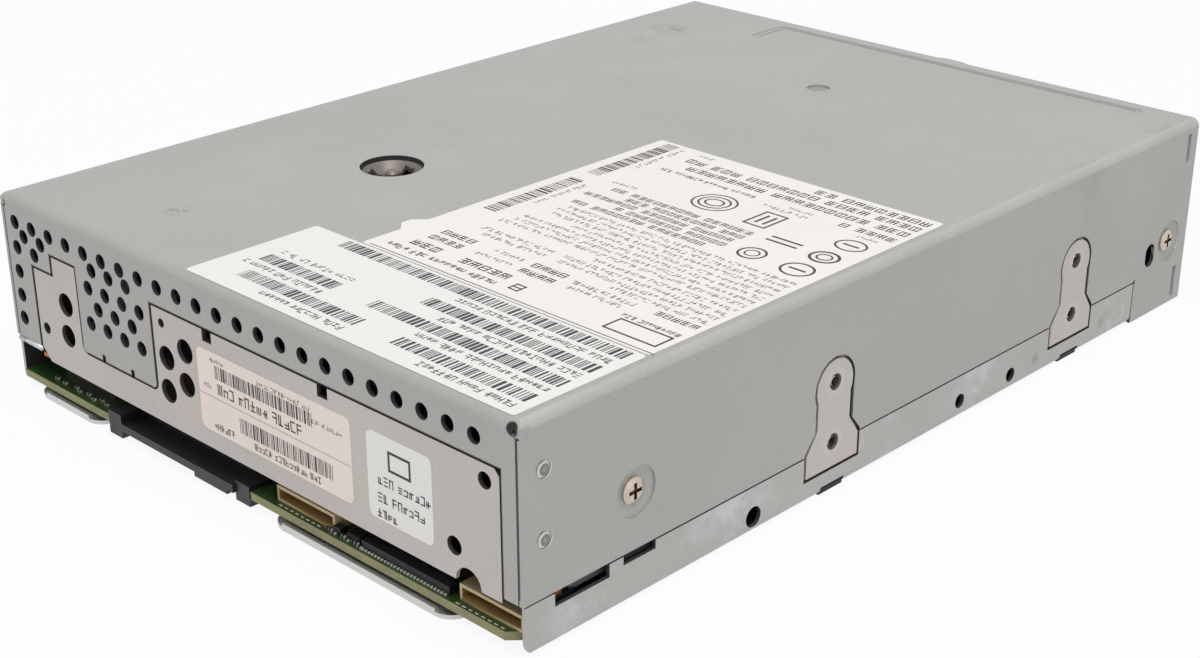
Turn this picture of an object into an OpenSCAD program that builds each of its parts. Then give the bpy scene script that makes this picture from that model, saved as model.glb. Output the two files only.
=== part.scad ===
// Half-height data tape drive in a bare steel case, without a front bezel.
// Units are millimetres. Z points up, the cartridge slot faces -Y and the
// connectors face +Y. The origin is at the middle of the case's underside.

/* [Case] */
// Width of the case across its side walls
case_w = 146; // [145:0.5:148]
// Depth of the case from its front edge to its rear flange
case_d = 202; // [200:1:210]
// Height of the case without its labels
case_h = 41.3; // [41.3:0.1:43]
// Thickness of the cover and pan steel
sheet_t = 0.8; // [0.6:0.1:1]
// Outside radius of the folds in the steel
bend_r = 1.8; // [1.2:0.1:2.4]
// Gap left at the seams between sheets
seam_gap = 0.3; // [0.2:0.05:0.4]
// How far the pan's lips and the connector stand out past the rear flange
rear_overhang = 0.8; // [0.4:0.1:1.2]
// Height of the lower edge of the cover's sides
cover_edge_z = 9.6; // [9.4:0.1:10]
// Thickness of the paper labels
label_t = 0.12; // [0.08:0.02:0.2]

/* [Mounting holes] */
// Distance along the case between mounting holes
mount_pitch_y = 79.25; // [79:0.25:80]
// Height of the lower side hole
mount_low_z = 10; // [9.8:0.1:10.2]
// Distance between the two side holes of one tab
mount_pitch_z = 11.84; // [11.6:0.01:12]
// Distance across the case between the holes in the underside
base_pitch_x = 139.7; // [139:0.1:140]
// Core radius of the M3 threads
thread_r = 1.25; // [1.2:0.05:1.3]

/* [Cartridge and loader] */
// Width of the tape cartridge
cart_w = 102; // [101:0.5:102.5]
// Depth of the tape cartridge
cart_d = 105.4; // [104:0.2:106]
// Thickness of the tape cartridge
cart_h = 21.5; // [21:0.1:21.8]
// Height of the cartridge's underside before it drops
cart_raised_z = 15.9; // [15.7:0.1:16]
// How far the cartridge drops onto the clutch
drop_travel = 4; // [3.6:0.1:4.2]
// How far the slider draws the cartridge in
load_travel = 14; // [12:0.5:15]
// Running clearance between sliding parts
slide_gap = 0.5; // [0.4:0.05:0.6]
// Thickness of the loader's sheet parts
loader_t = 0.8; // [0.7:0.05:1]

/* [Tape path] */
// Sideways place of the take-up reel's axis
reel_x = 28.8; // [28:0.1:29.2]
// Place of the take-up reel's axis along the case
reel_y = 38.8; // [38:0.1:40]
// Radius of the take-up reel's flanges
reel_r = 41.6; // [40:0.1:41.8]
// Radius of the take-up reel's hub
hub_r = 15; // [14:0.1:18]
// Width of the tape
tape_w = 12.65; // [12.5:0.01:12.8]
// Radius of a guide roller's running face
roller_r = 5; // [4.5:0.1:5.2]
// Radial clearance of a shaft in its bearing
shaft_gap = 0.05; // [0.03:0.01:0.08]

/* [Hidden] */
$fn = 48;

// One overrun serves every cut
cut_over = 0.5;
half_w = case_w / 2;
half_d = case_d / 2;
front_y = -half_d;
rear_y = half_d;
inner_w = half_w - sheet_t;
inner_top = case_h - sheet_t;

// Colours of the materials
zinc = [0.70, 0.71, 0.70];
warm_zinc = [0.70, 0.68, 0.66];
cast_alloy = [0.55, 0.56, 0.57];
black_resin = [0.08, 0.08, 0.09];
board_green = [0.16, 0.36, 0.20];
cream = [0.80, 0.72, 0.52];
paper = [0.93, 0.92, 0.90];
bright_steel = [0.78, 0.78, 0.80];
white_resin = [0.88, 0.88, 0.86];
brass = [0.80, 0.66, 0.35];
button_blue = [0.15, 0.30, 0.55];

// Rear wall of the cover: top flange, corner strips and hanging tongue
flange_h = 9.1;
flange_z = case_h - flange_h;
rear_strip_w = 9;
rear_strip_x = half_w - rear_strip_w;
rear_strip_z = 11;
step_w = 16;
step_x = half_w - step_w;
step_drop = 13.2;
step_z = case_h - step_drop;
tongue_inset = 24.8;
tongue_w = 24.5;
tongue_left_x = half_w - tongue_inset;
tongue_right_x = tongue_left_x - tongue_w;
tongue_drop = 26.5;
tongue_z = case_h - tongue_drop;
tongue_r = 1.5;
outline_gap = 0.4;
notch_w = 1.1;
notch_h = 1.4;
return_w = 4.4;
return_x = return_w - half_w;
relief_drop = 2.1;
return_z = case_h - relief_drop;
relief_r = 0.9;
vent_r = 1.48;
vent_count = 23;
vent_inset = 4.5;
vent_first_x = half_w - vent_inset;
vent_pitch = 5.97;
vent_drop = 5.4;
vent_z = case_h - vent_drop;

// Vent holes of the left rear corner, measured from the wall and the top
corner_holes = [[7.2, 7.8], [13.1, 7.9], [4.3, 10.7], [10.4, 10.8], [4, 15.8], [3.8, 20.9], [3.6, 25.9]];

// Staggered holes of the tongue: middle and height as shares, with the count
tongue_span = tongue_left_x - tongue_right_x;
tongue_rows_shares = [[0.53, 3, 1.05], [0.49, 4, 0.82], [0.49, 3, 0.61], [0.5, 4, 0.4]];
tongue_pitch = 5.6;
tongue_notch_shares = [0.71, 0.32];

// Front of the cover and the step in its lower edge
step_setback = 20.7;
step_y = front_y + step_setback;
bump_w = 9;
bump_root = 0.2;
bump_mid_share = -0.063;
dimple_r = 2.6;
dimple_depth = 0.5;
dimple_setback = 38.8;
dimple_y = front_y + dimple_setback;
bead_left_share = 0.28;
bead_right_share = -0.435;
bead_front = 2.6;
bead_back = 18;
bead_depth = 0.15;
bead_lip = 1.4;
bead_r = 3;
hub_hole_r = 6.5;
spot_r = 1.6;
spot_line = 0.35;
spot_depth = 0.15;
spot_inset = 4.7;
spot_y = rear_y - spot_inset;
spot_z_shares = [0.777, 0.482];
front_slot_inset = 2.6;
front_slot_y = front_y + front_slot_inset;
front_slot_w = 1.4;
front_slot_shares = [[0.777, 0.935], [0.03, 0.2]];

// Side screws of the cover in their pressed dishes
screw_r = 1.5;
screw_head_r = 2.4;
screw_head_h = 0.8;
head_top_share = 0.7;
cross_len = 3;
cross_w = 0.7;
cross_deep = 0.5;
cover_screw_len = 6;
dish_r = 4.6;
dish_depth = 0.9;
dish_play = 0.3;
pin_gap = 0.1;
rear_screw_inset = 25.3;
rear_screw_y = rear_y - rear_screw_inset;
rear_screw_z = 20.1;
front_screw_inset = 7.5;
front_screw_y = front_y + front_screw_inset;
front_screw_z = 15.3;
side_hole_inset = 15.2;
side_hole_y = front_y + side_hole_inset;
side_hole_z = 14.1;
side_hole_r = 1.8;
side_hole_tall = 0.8;

// Mounting tabs on their side plates
mount_setback = 85.5;
mount_mid_y = front_y + mount_setback;
mount_ys = [mount_mid_y + mount_pitch_y / 2, mount_mid_y - mount_pitch_y / 2];
mount_zs = [mount_low_z, mount_low_z + mount_pitch_z];
base_hole_xs = [-base_pitch_x / 2, base_pitch_x / 2];
tab_head_r = 5.1;
tab_above = 4.4;
tab_top_z = mount_zs[1] + tab_above;
tab_waist = 4.6;
tab_waist_rise = 3.4;
tab_waist_z = mount_low_z + tab_waist_rise;
tab_base = 7.4;
tab_flare_drop = 0.6;
tab_flare_z = mount_low_z - tab_flare_drop;
tab_below = 5;
tab_low_z = mount_low_z - tab_below;
tab_slit = 0.6;
plate_t = 1;
thread_chamfer = 0.35;
plate_gap = 0.25;
plate_x = inner_w - plate_gap - plate_t;
plate_low_z = 5;
plate_above = 2;
plate_high_z = tab_top_z + plate_above;
plate_margin = 2.6;

// Bottom pan
pan_edge_z = cover_edge_z - seam_gap;
pan_corner_r = 3;
pan_end_gap = 10;
pan_rear_y = rear_y - pan_end_gap;
rail_end_gap = 0.5;
rail_rear_y = rear_y - rail_end_gap;
rail_slot_shares = [[0.405, 0.466, 0.167], [0.351, 0.389, 0.186]];
rail_hole_shares = [[0.227, 0.082, 0.048], [-0.080, 0.094, 0.036], [-0.167, 0.085, 0.036]];
rail_foot_shares = [0.117, -0.276];
rail_foot_len = 6.7;
rail_foot_h = 1.7;
rail_foot_in = 2.6;
lip_left_w = 23;
lip_left_inset = 6;
lip_left = [half_w - lip_left_inset, half_w - lip_left_inset - lip_left_w];
lip_right_inset = 16;
lip_right = [-9, lip_right_inset - half_w];
lip_r = 4;
lip_h = 1.4;
base_boss_r = 2.3;
base_boss_h = 1.6;
floor_bead_shares = [-0.2, 0.17];
floor_bead_w = 5;
floor_bead_start = 30;
floor_bead_front = front_y + floor_bead_start;
floor_bead_end = 45;
floor_bead_rear = rear_y - floor_bead_end;

// Board and its connectors
board_z = 2;
board_t = 1.6;
board_top = board_z + board_t;
board_edge_gap = 0.5;
board_neck = 5.6;
board_neck_len = 40;
board_neck_y = rear_y - board_neck_len;
board_front_gap = 14;
board_front_y = front_y + board_front_gap;
board_corner = 3;
board_hole_r = 1.7;
chip_t = 1.5;
chip_shares = [
    [-0.30, 0.4545, 0.155, 0.055], [0.377, 0.4525, 0.12, 0.05], [0.02, 0.30, 0.19, 0.137],
    [-0.22, 0.26, 0.10, 0.05], [-0.22, 0.19, 0.10, 0.05], [0.22, 0.33, 0.07, 0.05],
    [0.24, 0.10, 0.14, 0.10], [-0.05, -0.02, 0.15, 0.108], [-0.30, -0.10, 0.08, 0.06],
    [0.25, -0.20, 0.10, 0.07], [-0.15, -0.28, 0.12, 0.08], [0.10, -0.36, 0.06, 0.04]
];
socket_h = 3.1;
socket_d = 7;
socket_wall = 0.6;
socket_floor = 1.5;
socket_inset = 1.6;
tongue_share = 0.35;
service_x = [-9, -25];
power_inset = 1.6;
power_w = 14.8;
power_x = [power_inset + power_w - half_w, power_inset - half_w];
iface_x = [40.5, -3];
iface_d = 12;
iface_blade_d = 5.5;
iface_low = 0.5;
iface_top = 7.2;
iface_lug_w = 4.2;
iface_lug_top = 5.4;
iface_lug_set = 0.6;
iface_key = [13, 3];
iface_key_h = 0.9;

// Deck
deck_z = 6.8;
deck_t = 2.2;
deck_top = deck_z + deck_t;
deck_end_gap = 12;
deck_front_y = front_y + deck_end_gap;
deck_rear_y = rear_y - deck_end_gap;
deck_ring_share = 0.7;
deck_hole_r = 6;
deck_window_r = 3;
deck_window_shares = [[-0.44, 0.27, -0.2, 0.4], [0.1, -0.2, 0.3, -0.13], [-0.33, -0.2, -0.18, -0.13]];
post_r = 3.2;
post_x_share = 0.4;
post_x = post_x_share * case_w;
post_y_shares = [0.405, 0.16, -0.16, -0.39];
post_ys = [for (s = post_y_shares) s * case_d];
boss_w = 9;
boss_len = 8;
boss_over = 5;

// Inset rear panel
panel_set = 0.1;
panel_y = rear_y - panel_set;
panel_low_z = 8.5;
panel_step = 3;
panel_foot = 3;
// Holes of the panel beside the tongue, by its right wall and by its left wall: distance, height, radius
tongue_side_holes = [[4, 22.4, 2.35], [10, 25.6, 2.35], [3.7, 15.7, 2.35], [9.8, 18.9, 2.35], [3.2, 29.1, 0.9]];
right_wall_holes = [[19.9, 22.9, 2.4], [19.6, 16.3, 2.3], [11.8, 15.6, 1.2]];
left_wall_holes = [[8.1, 28.9, 1.5], [15.6, 14.5, 1.7]];
panel_holes = concat(
    [for (h = tongue_side_holes) [tongue_right_x - h[0], h[1], h[2]]],
    [for (h = right_wall_holes) [half_w - h[0], h[1], h[2]]],
    [for (h = left_wall_holes) [h[0] - half_w, h[1], h[2]]]
);
panel_notch_xs = [6.5, -25.7];
panel_notch_w = 2.7;
panel_notch_h = 2.6;
power_notch_inset = 12.5;
power_notch_x = power_notch_inset - half_w;
power_notch_r = 3;

// Labels on the cover and on the rear panel
label_left_share = 0.089;
label_right_share = -0.482;
label_margin = 1.3;
label_rear_band = 31;
label_split_y = rear_y - label_rear_band;
label_split_gap = 0.4;
label_front_len = 80.5;
label_front_step = 12.5;
label_r = 0.8;
label_ear = 2.4;
label_ear_w = 3.4;
label_ear_set = 12.6;
panel_label_r = 1.4;
wide_label_x = [9.9, -32.6];
wide_label_low = 12.2;
wide_label_high = 28.1;
narrow_label_x = [-36.7, -52.6];

// Reel, threader and tape path
hub_at = [reel_x, reel_y];
reel_clear = 2.6;
cart_rear_y = reel_y - reel_r - reel_clear;
door_out = 7.5;
door_in = 2.8;
door_at = [-(cart_w / 2 + door_out), cart_rear_y - door_in];
pivot_at = (hub_at + door_at) / 2;
arc_r = norm(hub_at - door_at) / 2;
door_angle = atan2(door_at[1] - pivot_at[1], door_at[0] - pivot_at[0]);
hub_angle = door_angle + 180;
tape_rise = 11.1;
tape_mid = cart_raised_z - drop_travel + tape_rise;
flange_t = 1;
reel_gap = 0.55;
reel_low = tape_mid - tape_w / 2 - reel_gap;
reel_high = tape_mid + tape_w / 2 + reel_gap;
reel_window_r = 9;
reel_window_angles = [140, 20, 260];
hub_bore = 8.6;
hub_skirt_r = 8;
block_w = 6;
block_len = 9;
block_play = 0.3;
block_h = tape_w - block_play;
block_slot = 1;
hook_share = 0.2;
arm_gap = 3.1;
arm_z = reel_high + flange_t + arm_gap;
arm_t = 1.6;
arm_w = 7;
arm_hub_share = 0.7;
arm_pin_r = 1.2;
gear_t = 2.2;
post_shaft_r = 2;
post_shoulder = 1.3;
post_play = 0.3;
post_cap_t = 0.8;

// Gears
pressure_angle = 20;
addendum_share = 0.7;
dedendum_share = 0.95;
root_share = 0.2;
rack_root_share = 0.9;
gear_space = 0.12;
threader_module = 0.5;
arm_teeth = 36;
threader_teeth = 12;
threader_gap = (arm_teeth + threader_teeth) * threader_module / 2;
threader_at = pivot_at + [0, -threader_gap];
arm_gear_turn = -90 - door_angle;
small_motor_r = 6.1;
neck_share = 0.5;
motor_shaft_r = 0.75;
shaft_engage = 3;
threader_motor_gap = 0.6;
threader_motor_top = arm_z - threader_motor_gap;

// Rollers
orbit_inset = 10.9;
roller_orbit = arc_r - orbit_inset;
roller_rim = 1.2;
roller_flange_r = roller_r + roller_rim;
roller_flange_t = 0.7;
roller_play = 0.15;
roller_pin_r = 1.5;
roller_angles = [196, 170, 124, 101];
cap_share = 0.55;

// Reel motors and supply clutch
motor_r = 24;
motor_gap = 0.5;
motor_floor = 1;
motor_well_r = 9;
shaft_r = 3;
shaft_step = 0.5;
supply_setback = 51;
supply_at = [0, cart_rear_y - supply_setback];
supply_motor_r = 22;
supply_can_gap = 0.5;
supply_can_z = cart_raised_z - drop_travel - supply_can_gap;
clutch_r = 16;
clutch_teeth = 24;
clutch_tooth_h = 1.6;
clutch_root = 0.3;
clutch_in_share = 0.72;
clutch_clear = 0.7;
clutch_top = cart_raised_z - clutch_clear;

// Head actuator, as distances from the threader's pivot
head_angle = 147;
head_w = 14;
head_depth = 5;
head_step = 3.6;
head_reach = roller_orbit + head_step;
head_bump_shares = [-0.25, 0, 0.25];
head_bump_w = 1.4;
carriage_in = 24;
carriage_out = 30.4;
carriage_w = 19.4;
carriage_t = 5;
nut_wall = 2;
guide_post_r = 1.5;
guide_post_side = 7;
guide_post_at = 27;
lead_at = 19.5;
lead_r = 1.5;
lead_pitch = 1.25;
lead_groove = 0.25;
lead_grooves = 9;
stepper_r = 7;
stepper_h = 8.3;
stepper_well = 3;

// Cup under the hole in the cover
cup_depth = 2.4;
cup_t = 0.5;
cup_floor_r = 4.4;
cup_rim_r = 6.2;
cup_flange_r = 8.6;
cup_pin_r = 1.5;
cup_pin_share = 0.75;
cup_window_in = 2.4;
cup_window_out = 4.9;
cup_window_w = 3;

// Loader: tray, slider and side guides
tray_half = cart_w / 2 + slide_gap;
tray_out = tray_half + loader_t;
tray_top = cart_raised_z + cart_h + slide_gap;
tray_setback = 13;
tray_front_y = front_y + tray_setback;
tray_rear_y = cart_rear_y - load_travel;
tray_lip = 4;
stop_in_share = 0.35;
stop_out_share = 0.75;
stop_h = 5;
tray_window_shares = [[-0.38, -0.1], [0.1, 0.38]];
tray_window_front_share = 0.12;
tray_window_end = 15.9;
tray_window_r = 4;
tray_corner_w = 9;
tray_corner_d = 6;
tray_corner_z = arm_z - arm_t;
slider_in = tray_out + slide_gap;
slider_t = 1;
slider_out = slider_in + slider_t;
slider_setback = 2;
slider_front_y = tray_front_y + slider_setback;
slider_short = 10;
slider_rear_y = tray_rear_y - slider_short;
slider_rise = 0.6;
slider_low_z = deck_top + slider_rise;
slider_window = 6;
strap_gap = 0.4;
strap_z = tray_top + loader_t + strap_gap;
strap_t = 0.7;
strap_w = 14;
tray_pin_r = 1.5;
tray_pin_z = 27;
tray_pin_front = 9;
tray_pin_rear = 10;
tray_pin_ys = [slider_front_y + tray_pin_front, slider_rear_y - tray_pin_rear];
guide_in = slider_out + slide_gap;
guide_t = 1.2;
guide_out = guide_in + guide_t;
guide_rise = 3.4;
guide_low_z = slider_low_z + guide_rise;
guide_high_z = 36;
guide_before = 0.5;
guide_front_y = tray_front_y - guide_before;
guide_past = 1.5;
guide_rear_y = tray_rear_y + guide_past;
guide_foot = 5;
foot_share = 0.8;
rack_module = 0.8;
rack_h = 2.3;
rack_first = -8;
rack_last = 2;
pinion_teeth = 18;
pinion_r = rack_module * pinion_teeth / 2;
rack_line_x = slider_out + rack_module * rack_root_share;
pinion_setback = 29;
pinion_at = [rack_line_x + pinion_r, tray_front_y + pinion_setback];
motor_plate_drop = 0.5;
motor_plate_z = guide_low_z - motor_plate_drop;
motor_plate_t = 1;
bracket_edge = 1.4;
bracket_len = 20;
loader_motor_r = 5.6;
loader_motor_h = 20;

// Front frame with its slot, button and display
frame_gap = 0.3;
frame_d = 7.8;
frame_set = 4.2;
frame_front_y = front_y + frame_set;
frame_rear_y = frame_front_y + frame_d;
frame_wall = 2.5;
frame_cut_shares = [0.1, 0.9];
slot_side = 1.2;
slot_below = 0.9;
slot_low_z = cart_raised_z - drop_travel - slot_below;
slot_above = 0.4;
slot_high_z = tray_top + slot_above;
slot_rim = 1.5;
pillar_shift = 1.2;
pillar_mid_x = (cart_w / 2 + half_w) / 2 + pillar_shift;
pocket_w = 12;
pocket_low_z = 17.6;
button_w = 7;
button_h = 5;
button_z = 22;
button_travel = 1;
button_gap = 0.25;
button_flange = 0.8;
window_w = 8;
window_h = 8;
window_z = 31;
card_t = 1;
card_set = 2;
card_y = frame_rear_y - card_set;
switch_h = 1;
display_deep = 3;

// A straight round bar standing on the plane below it
module rod(r, h) {
    cylinder(r = r, h = h);
}

// A 2D outline in X and Z, stretched from y0 to y1
module along_y(y0, y1) {
    translate([0, y1, 0]) rotate([90, 0, 0]) linear_extrude(y1 - y0) children();
}

// A 2D outline in Y and Z, stretched from x0 to x1
module along_x(x0, x1) {
    translate([x0, 0, 0]) rotate([90, 0, 90]) linear_extrude(x1 - x0) children();
}

// A box between two opposite corners
module box(low, high) {
    translate(low) cube(high - low);
}

// A round hole through a rear face, reaching both ways from y
module hole_y(x, y, z, r, reach) {
    translate([x, y + reach, z]) rotate([90, 0, 0]) cylinder(r = r, h = 2 * reach);
}

// A round hole through a side face, reaching both ways from x
module hole_x(x, y, z, r, reach) {
    translate([x - reach, y, z]) rotate([0, 90, 0]) cylinder(r = r, h = 2 * reach);
}

// A rectangle with round corners
module round_rect(x0, y0, x1, y1, r) {
    translate([x0 + r, y0]) square([x1 - x0 - 2 * r, y1 - y0]);
    translate([x0, y0 + r]) square([x1 - x0, y1 - y0 - 2 * r]);
    for (x = [x0 + r, x1 - r], y = [y0 + r, y1 - r]) translate([x, y]) circle(r);
}

// A flat plate with round corners in plan
module round_plate(x0, y0, x1, y1, r, t) {
    linear_extrude(t) round_rect(x0, y0, x1, y1, r);
}

// Children and their mirror image across the middle of the case
module both_sides() {
    children();
    mirror([1, 0, 0]) children();
}

// Section of a box whose two top corners are folded
module fold_section(w, low, high, r) {
    translate([-w / 2, low]) square([w, high - r - low]);
    translate([r - w / 2, low]) square([w - 2 * r, high - low]);
    for (s = [-1, 1]) translate([s * (w / 2 - r), high - r]) circle(r);
}

// Section of a box folded at its top rear corner only
module rear_section(y0, y1, low, high, r) {
    translate([y0, low]) square([y1 - y0, high - r - low]);
    translate([y0, low]) square([y1 - r - y0, high - low]);
    translate([y1 - r, high - r]) circle(r);
}

// Solid block with the folds of the cover, drawn in by one amount
module folded_block(inset, y0, low) {
    r = bend_r - inset;
    intersection() {
        along_y(y0, rear_y - inset) fold_section(case_w - 2 * inset, low, case_h - inset, r);
        along_x(-half_w, half_w) rear_section(y0, rear_y - inset, low, case_h - inset, r);
    }
}

// Outline of a mounting tab in Y and Z, grown by g
module tab_outline(y, g) {
    head_z = tab_top_z - tab_head_r;
    waist = tab_waist + g;
    base = tab_base + g;
    translate([y, head_z]) circle(tab_head_r + g);
    polygon([
        [y - waist, head_z], [y - waist, tab_waist_z], [y - base, tab_flare_z + g], [y - base, tab_low_z - g],
        [y + base, tab_low_z - g], [y + base, tab_flare_z + g], [y + waist, tab_waist_z], [y + waist, head_z]
    ]);
}

// Outline of the hanging tongue of the rear flange, grown by g
module tongue_outline(g) {
    translate([tongue_right_x - g, tongue_z + tongue_r])
        square([tongue_span + 2 * g, flange_z + tongue_r - tongue_z]);
    translate([tongue_right_x + tongue_r, tongue_z - g]) square([tongue_span - 2 * tongue_r, tongue_r + 2 * g]);
    for (x = [tongue_right_x + tongue_r, tongue_left_x - tongue_r]) translate([x, tongue_z + tongue_r])
        circle(tongue_r + g);
}

// Top cover

// Opening in the rear wall that shows the inset panel
module rear_opening() {
    difference() {
        polygon([
            [rear_strip_x, -cut_over], [rear_strip_x, step_z], [step_x, step_z], [step_x, flange_z],
            [return_x, flange_z], [return_x, -cut_over]
        ]);
        difference() {
            tongue_outline(0);
            for (s = tongue_notch_shares) translate([tongue_right_x + s * tongue_span - notch_w / 2, tongue_z - cut_over])
                square([notch_w, notch_h + cut_over]);
        }
    }
}

module tongue_holes() {
    for (row = tongue_rows_shares, i = [0:row[1] - 1]) {
        x = tongue_right_x + row[0] * tongue_span + (i - (row[1] - 1) / 2) * tongue_pitch;
        z = tongue_z + row[2] * (flange_z - tongue_z);
        hole_y(x, rear_y, z, vent_r, 2 * sheet_t);
    }
}

module flange_holes() {
    for (i = [0:vent_count - 1]) hole_y(vent_first_x - i * vent_pitch, rear_y, vent_z, vent_r, 2 * sheet_t);
    for (h = corner_holes) hole_y(half_w - h[0], rear_y, case_h - h[1], vent_r, 2 * sheet_t);
}

// Shallow ring left by a spot weld on a side wall
module spot_ring(y, z) {
    translate([half_w - spot_depth, y, z]) rotate([0, 90, 0]) difference() {
        cylinder(r = spot_r, h = 2 * spot_depth);
        translate([0, 0, -spot_depth]) cylinder(r = spot_r - spot_line, h = 4 * spot_depth);
    }
}

// Everything that is cut through one side wall
module side_cuts() {
    box([inner_w - cut_over, step_y, -cut_over], [half_w + cut_over, rear_y + cut_over, cover_edge_z]);
    for (y = mount_ys) along_x(inner_w - cut_over, half_w + cut_over) tab_outline(y, tab_slit);
    hole_x(half_w, rear_screw_y, rear_screw_z, dish_r, 2 * sheet_t);
    hole_x(half_w, front_screw_y, front_screw_z, dish_r, 2 * sheet_t);
    along_x(inner_w - cut_over, half_w + cut_over)
        upright_slot(side_hole_y, side_hole_z - side_hole_tall, side_hole_z + side_hole_tall, side_hole_r);
    for (s = front_slot_shares) box(
        [inner_w - cut_over, front_slot_y, s[0] * case_h],
        [half_w + cut_over, front_slot_y + front_slot_w, s[1] * case_h]
    );
    for (s = spot_z_shares) spot_ring(spot_y, s * case_h);
}

// Pressed dish that a side screw sits in
module screw_dish(y, z) {
    floor_r = screw_head_r + dish_play;
    translate([half_w, y, z]) rotate([0, 90, 0]) rotate_extrude() polygon([
        [screw_r + pin_gap, -dish_depth - sheet_t], [floor_r, -dish_depth - sheet_t],
        [dish_r + dish_play, -sheet_t - dish_play], [dish_r + dish_play, -sheet_t / 2],
        [dish_r, -sheet_t / 2], [floor_r, -dish_depth], [screw_r + pin_gap, -dish_depth]
    ]);
}

// Shallow step pressed in the top behind its front edge
module top_emboss() {
    left = case_w * bead_left_share;
    right = case_w * bead_right_share;
    y0 = front_y + bead_front;
    y1 = front_y + bead_back;
    for (i = [1, 2]) translate([0, 0, case_h - i * bead_depth])
        round_plate(
            right + i * bead_lip, y0 + i * bead_lip / 2, left - i * bead_lip, y1 - i * bead_lip,
            bead_r - i * bead_lip / 2, cut_over
        );
}

// Small tongue on the top's front edge
module front_bump() {
    linear_extrude(sheet_t) polygon([
        [-bump_w / 2, bump_root], [-bump_w / 2, 0], [-bump_w / 4, -rear_overhang],
        [bump_w / 4, -rear_overhang], [bump_w / 2, 0], [bump_w / 2, bump_root]
    ]);
}

module top_cover() {
    color(zinc) {
        difference() {
            folded_block(0, front_y, 0);
            folded_block(sheet_t, front_y - cut_over, -cut_over);
            along_y(rear_y - sheet_t - cut_over, rear_y + cut_over) rear_opening();
            box(
                [rear_strip_x - cut_over, rear_y - sheet_t - cut_over, -cut_over],
                [half_w + cut_over, rear_y + cut_over, rear_strip_z]
            );
            box(
                [-half_w - cut_over, rear_y - sheet_t - cut_over, -cut_over],
                [return_x, rear_y + cut_over, cover_edge_z]
            );
            both_sides() {
                box(
                    [inner_w - seam_gap, rear_y - sheet_t - cut_over, -cut_over],
                    [inner_w, rear_y + cut_over, return_z]
                );
                hole_y(inner_w, rear_y, return_z, relief_r, 2 * sheet_t);
            }
            flange_holes();
            tongue_holes();
            both_sides() side_cuts();
            translate([reel_x, reel_y, inner_top - cut_over]) rod(hub_hole_r, 2 * cut_over + sheet_t);
            translate([0, dimple_y, case_h - dimple_depth]) rod(dimple_r, sheet_t);
            top_emboss();
        }
        both_sides() screw_dish(rear_screw_y, rear_screw_z);
        both_sides() screw_dish(front_screw_y, front_screw_z);
        translate([case_w * bump_mid_share, front_y, inner_top]) front_bump();
    }
}

// Labels

module cover_label_rear() {
    color(paper) translate([0, 0, case_h])
        round_plate(
            label_right_share * case_w, label_split_y + label_split_gap,
            label_left_share * case_w, rear_y - label_margin, label_r, label_t
        );
}

module cover_label_front() {
    edge = label_left_share * case_w - label_front_step;
    ear_y = label_split_y - label_ear_set;
    color(paper) translate([0, 0, case_h]) {
        round_plate(
            label_right_share * case_w, label_split_y - label_front_len, edge, label_split_y, label_r, label_t
        );
        linear_extrude(label_t) polygon([
            [edge - label_r, ear_y - label_ear_w], [edge, ear_y - label_ear_w], [edge + label_ear, ear_y - label_ear_w / 3],
            [edge + label_ear, ear_y + label_ear_w / 3], [edge, ear_y + label_ear_w], [edge - label_r, ear_y + label_ear_w]
        ]);
    }
}

module panel_label(span, low, high) {
    color(paper) along_y(panel_y, panel_y + label_t) round_rect(span[1], low, span[0], high, panel_label_r);
}

module panel_label_wide() {
    panel_label(wide_label_x, wide_label_low, wide_label_high);
}

module panel_label_narrow() {
    panel_label(narrow_label_x, wide_label_low, wide_label_high);
}

// Inset rear panel with its foot on the deck
module rear_panel() {
    foot_y = deck_rear_y - panel_foot;
    color(warm_zinc) {
        difference() {
            along_y(panel_y - sheet_t, panel_y) polygon([
                [rear_strip_x - outline_gap, rear_strip_z], [rear_strip_x - panel_step, panel_low_z],
                [return_x + outline_gap, panel_low_z], [return_x + outline_gap, flange_z - panel_step / 2],
                [return_x + panel_step / 2, flange_z - outline_gap], [step_x - outline_gap, flange_z - outline_gap],
                [step_x - outline_gap, step_z - outline_gap], [rear_strip_x - outline_gap, step_z - outline_gap]
            ]);
            along_y(panel_y - 2 * sheet_t, panel_y + sheet_t) tongue_outline(outline_gap);
            for (h = panel_holes) hole_y(h[0], panel_y, h[1], h[2], 2 * sheet_t);
            for (x = panel_notch_xs) box(
                [x - panel_notch_w / 2, panel_y - 2 * sheet_t, flange_z - panel_notch_h],
                [x + panel_notch_w / 2, panel_y + sheet_t, flange_z + panel_notch_h]
            );
            hole_y(power_notch_x, panel_y, panel_low_z, power_notch_r, 2 * sheet_t);
        }
        box(
            [power_notch_x + power_notch_r + panel_step, foot_y, deck_top],
            [rear_strip_x - 2 * panel_step, panel_y - sheet_t / 2, deck_top + sheet_t]
        );
    }
}

// Side plate whose tabs stand through the cover and carry the mounting threads
module mount_plate() {
    color(warm_zinc) difference() {
        union() {
            box(
                [plate_x, mount_ys[1] - tab_base - plate_margin, plate_low_z],
                [plate_x + plate_t, mount_ys[0] + tab_base, plate_high_z]
            );
            for (y = mount_ys) along_x(plate_x, half_w) tab_outline(y, 0);
        }
        for (y = mount_ys, z = mount_zs) {
            hole_x(half_w, y, z, thread_r, 2 * (half_w - plate_x));
            translate([half_w - thread_chamfer, y, z]) rotate([0, 90, 0])
                cylinder(r1 = thread_r, r2 = thread_r + 2 * thread_chamfer, h = 2 * thread_chamfer);
        }
    }
}

module mount_plate_right() {
    mount_plate();
}

module mount_plate_left() {
    mirror([1, 0, 0]) mount_plate();
}

// Bottom pan with the lower rails

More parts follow.
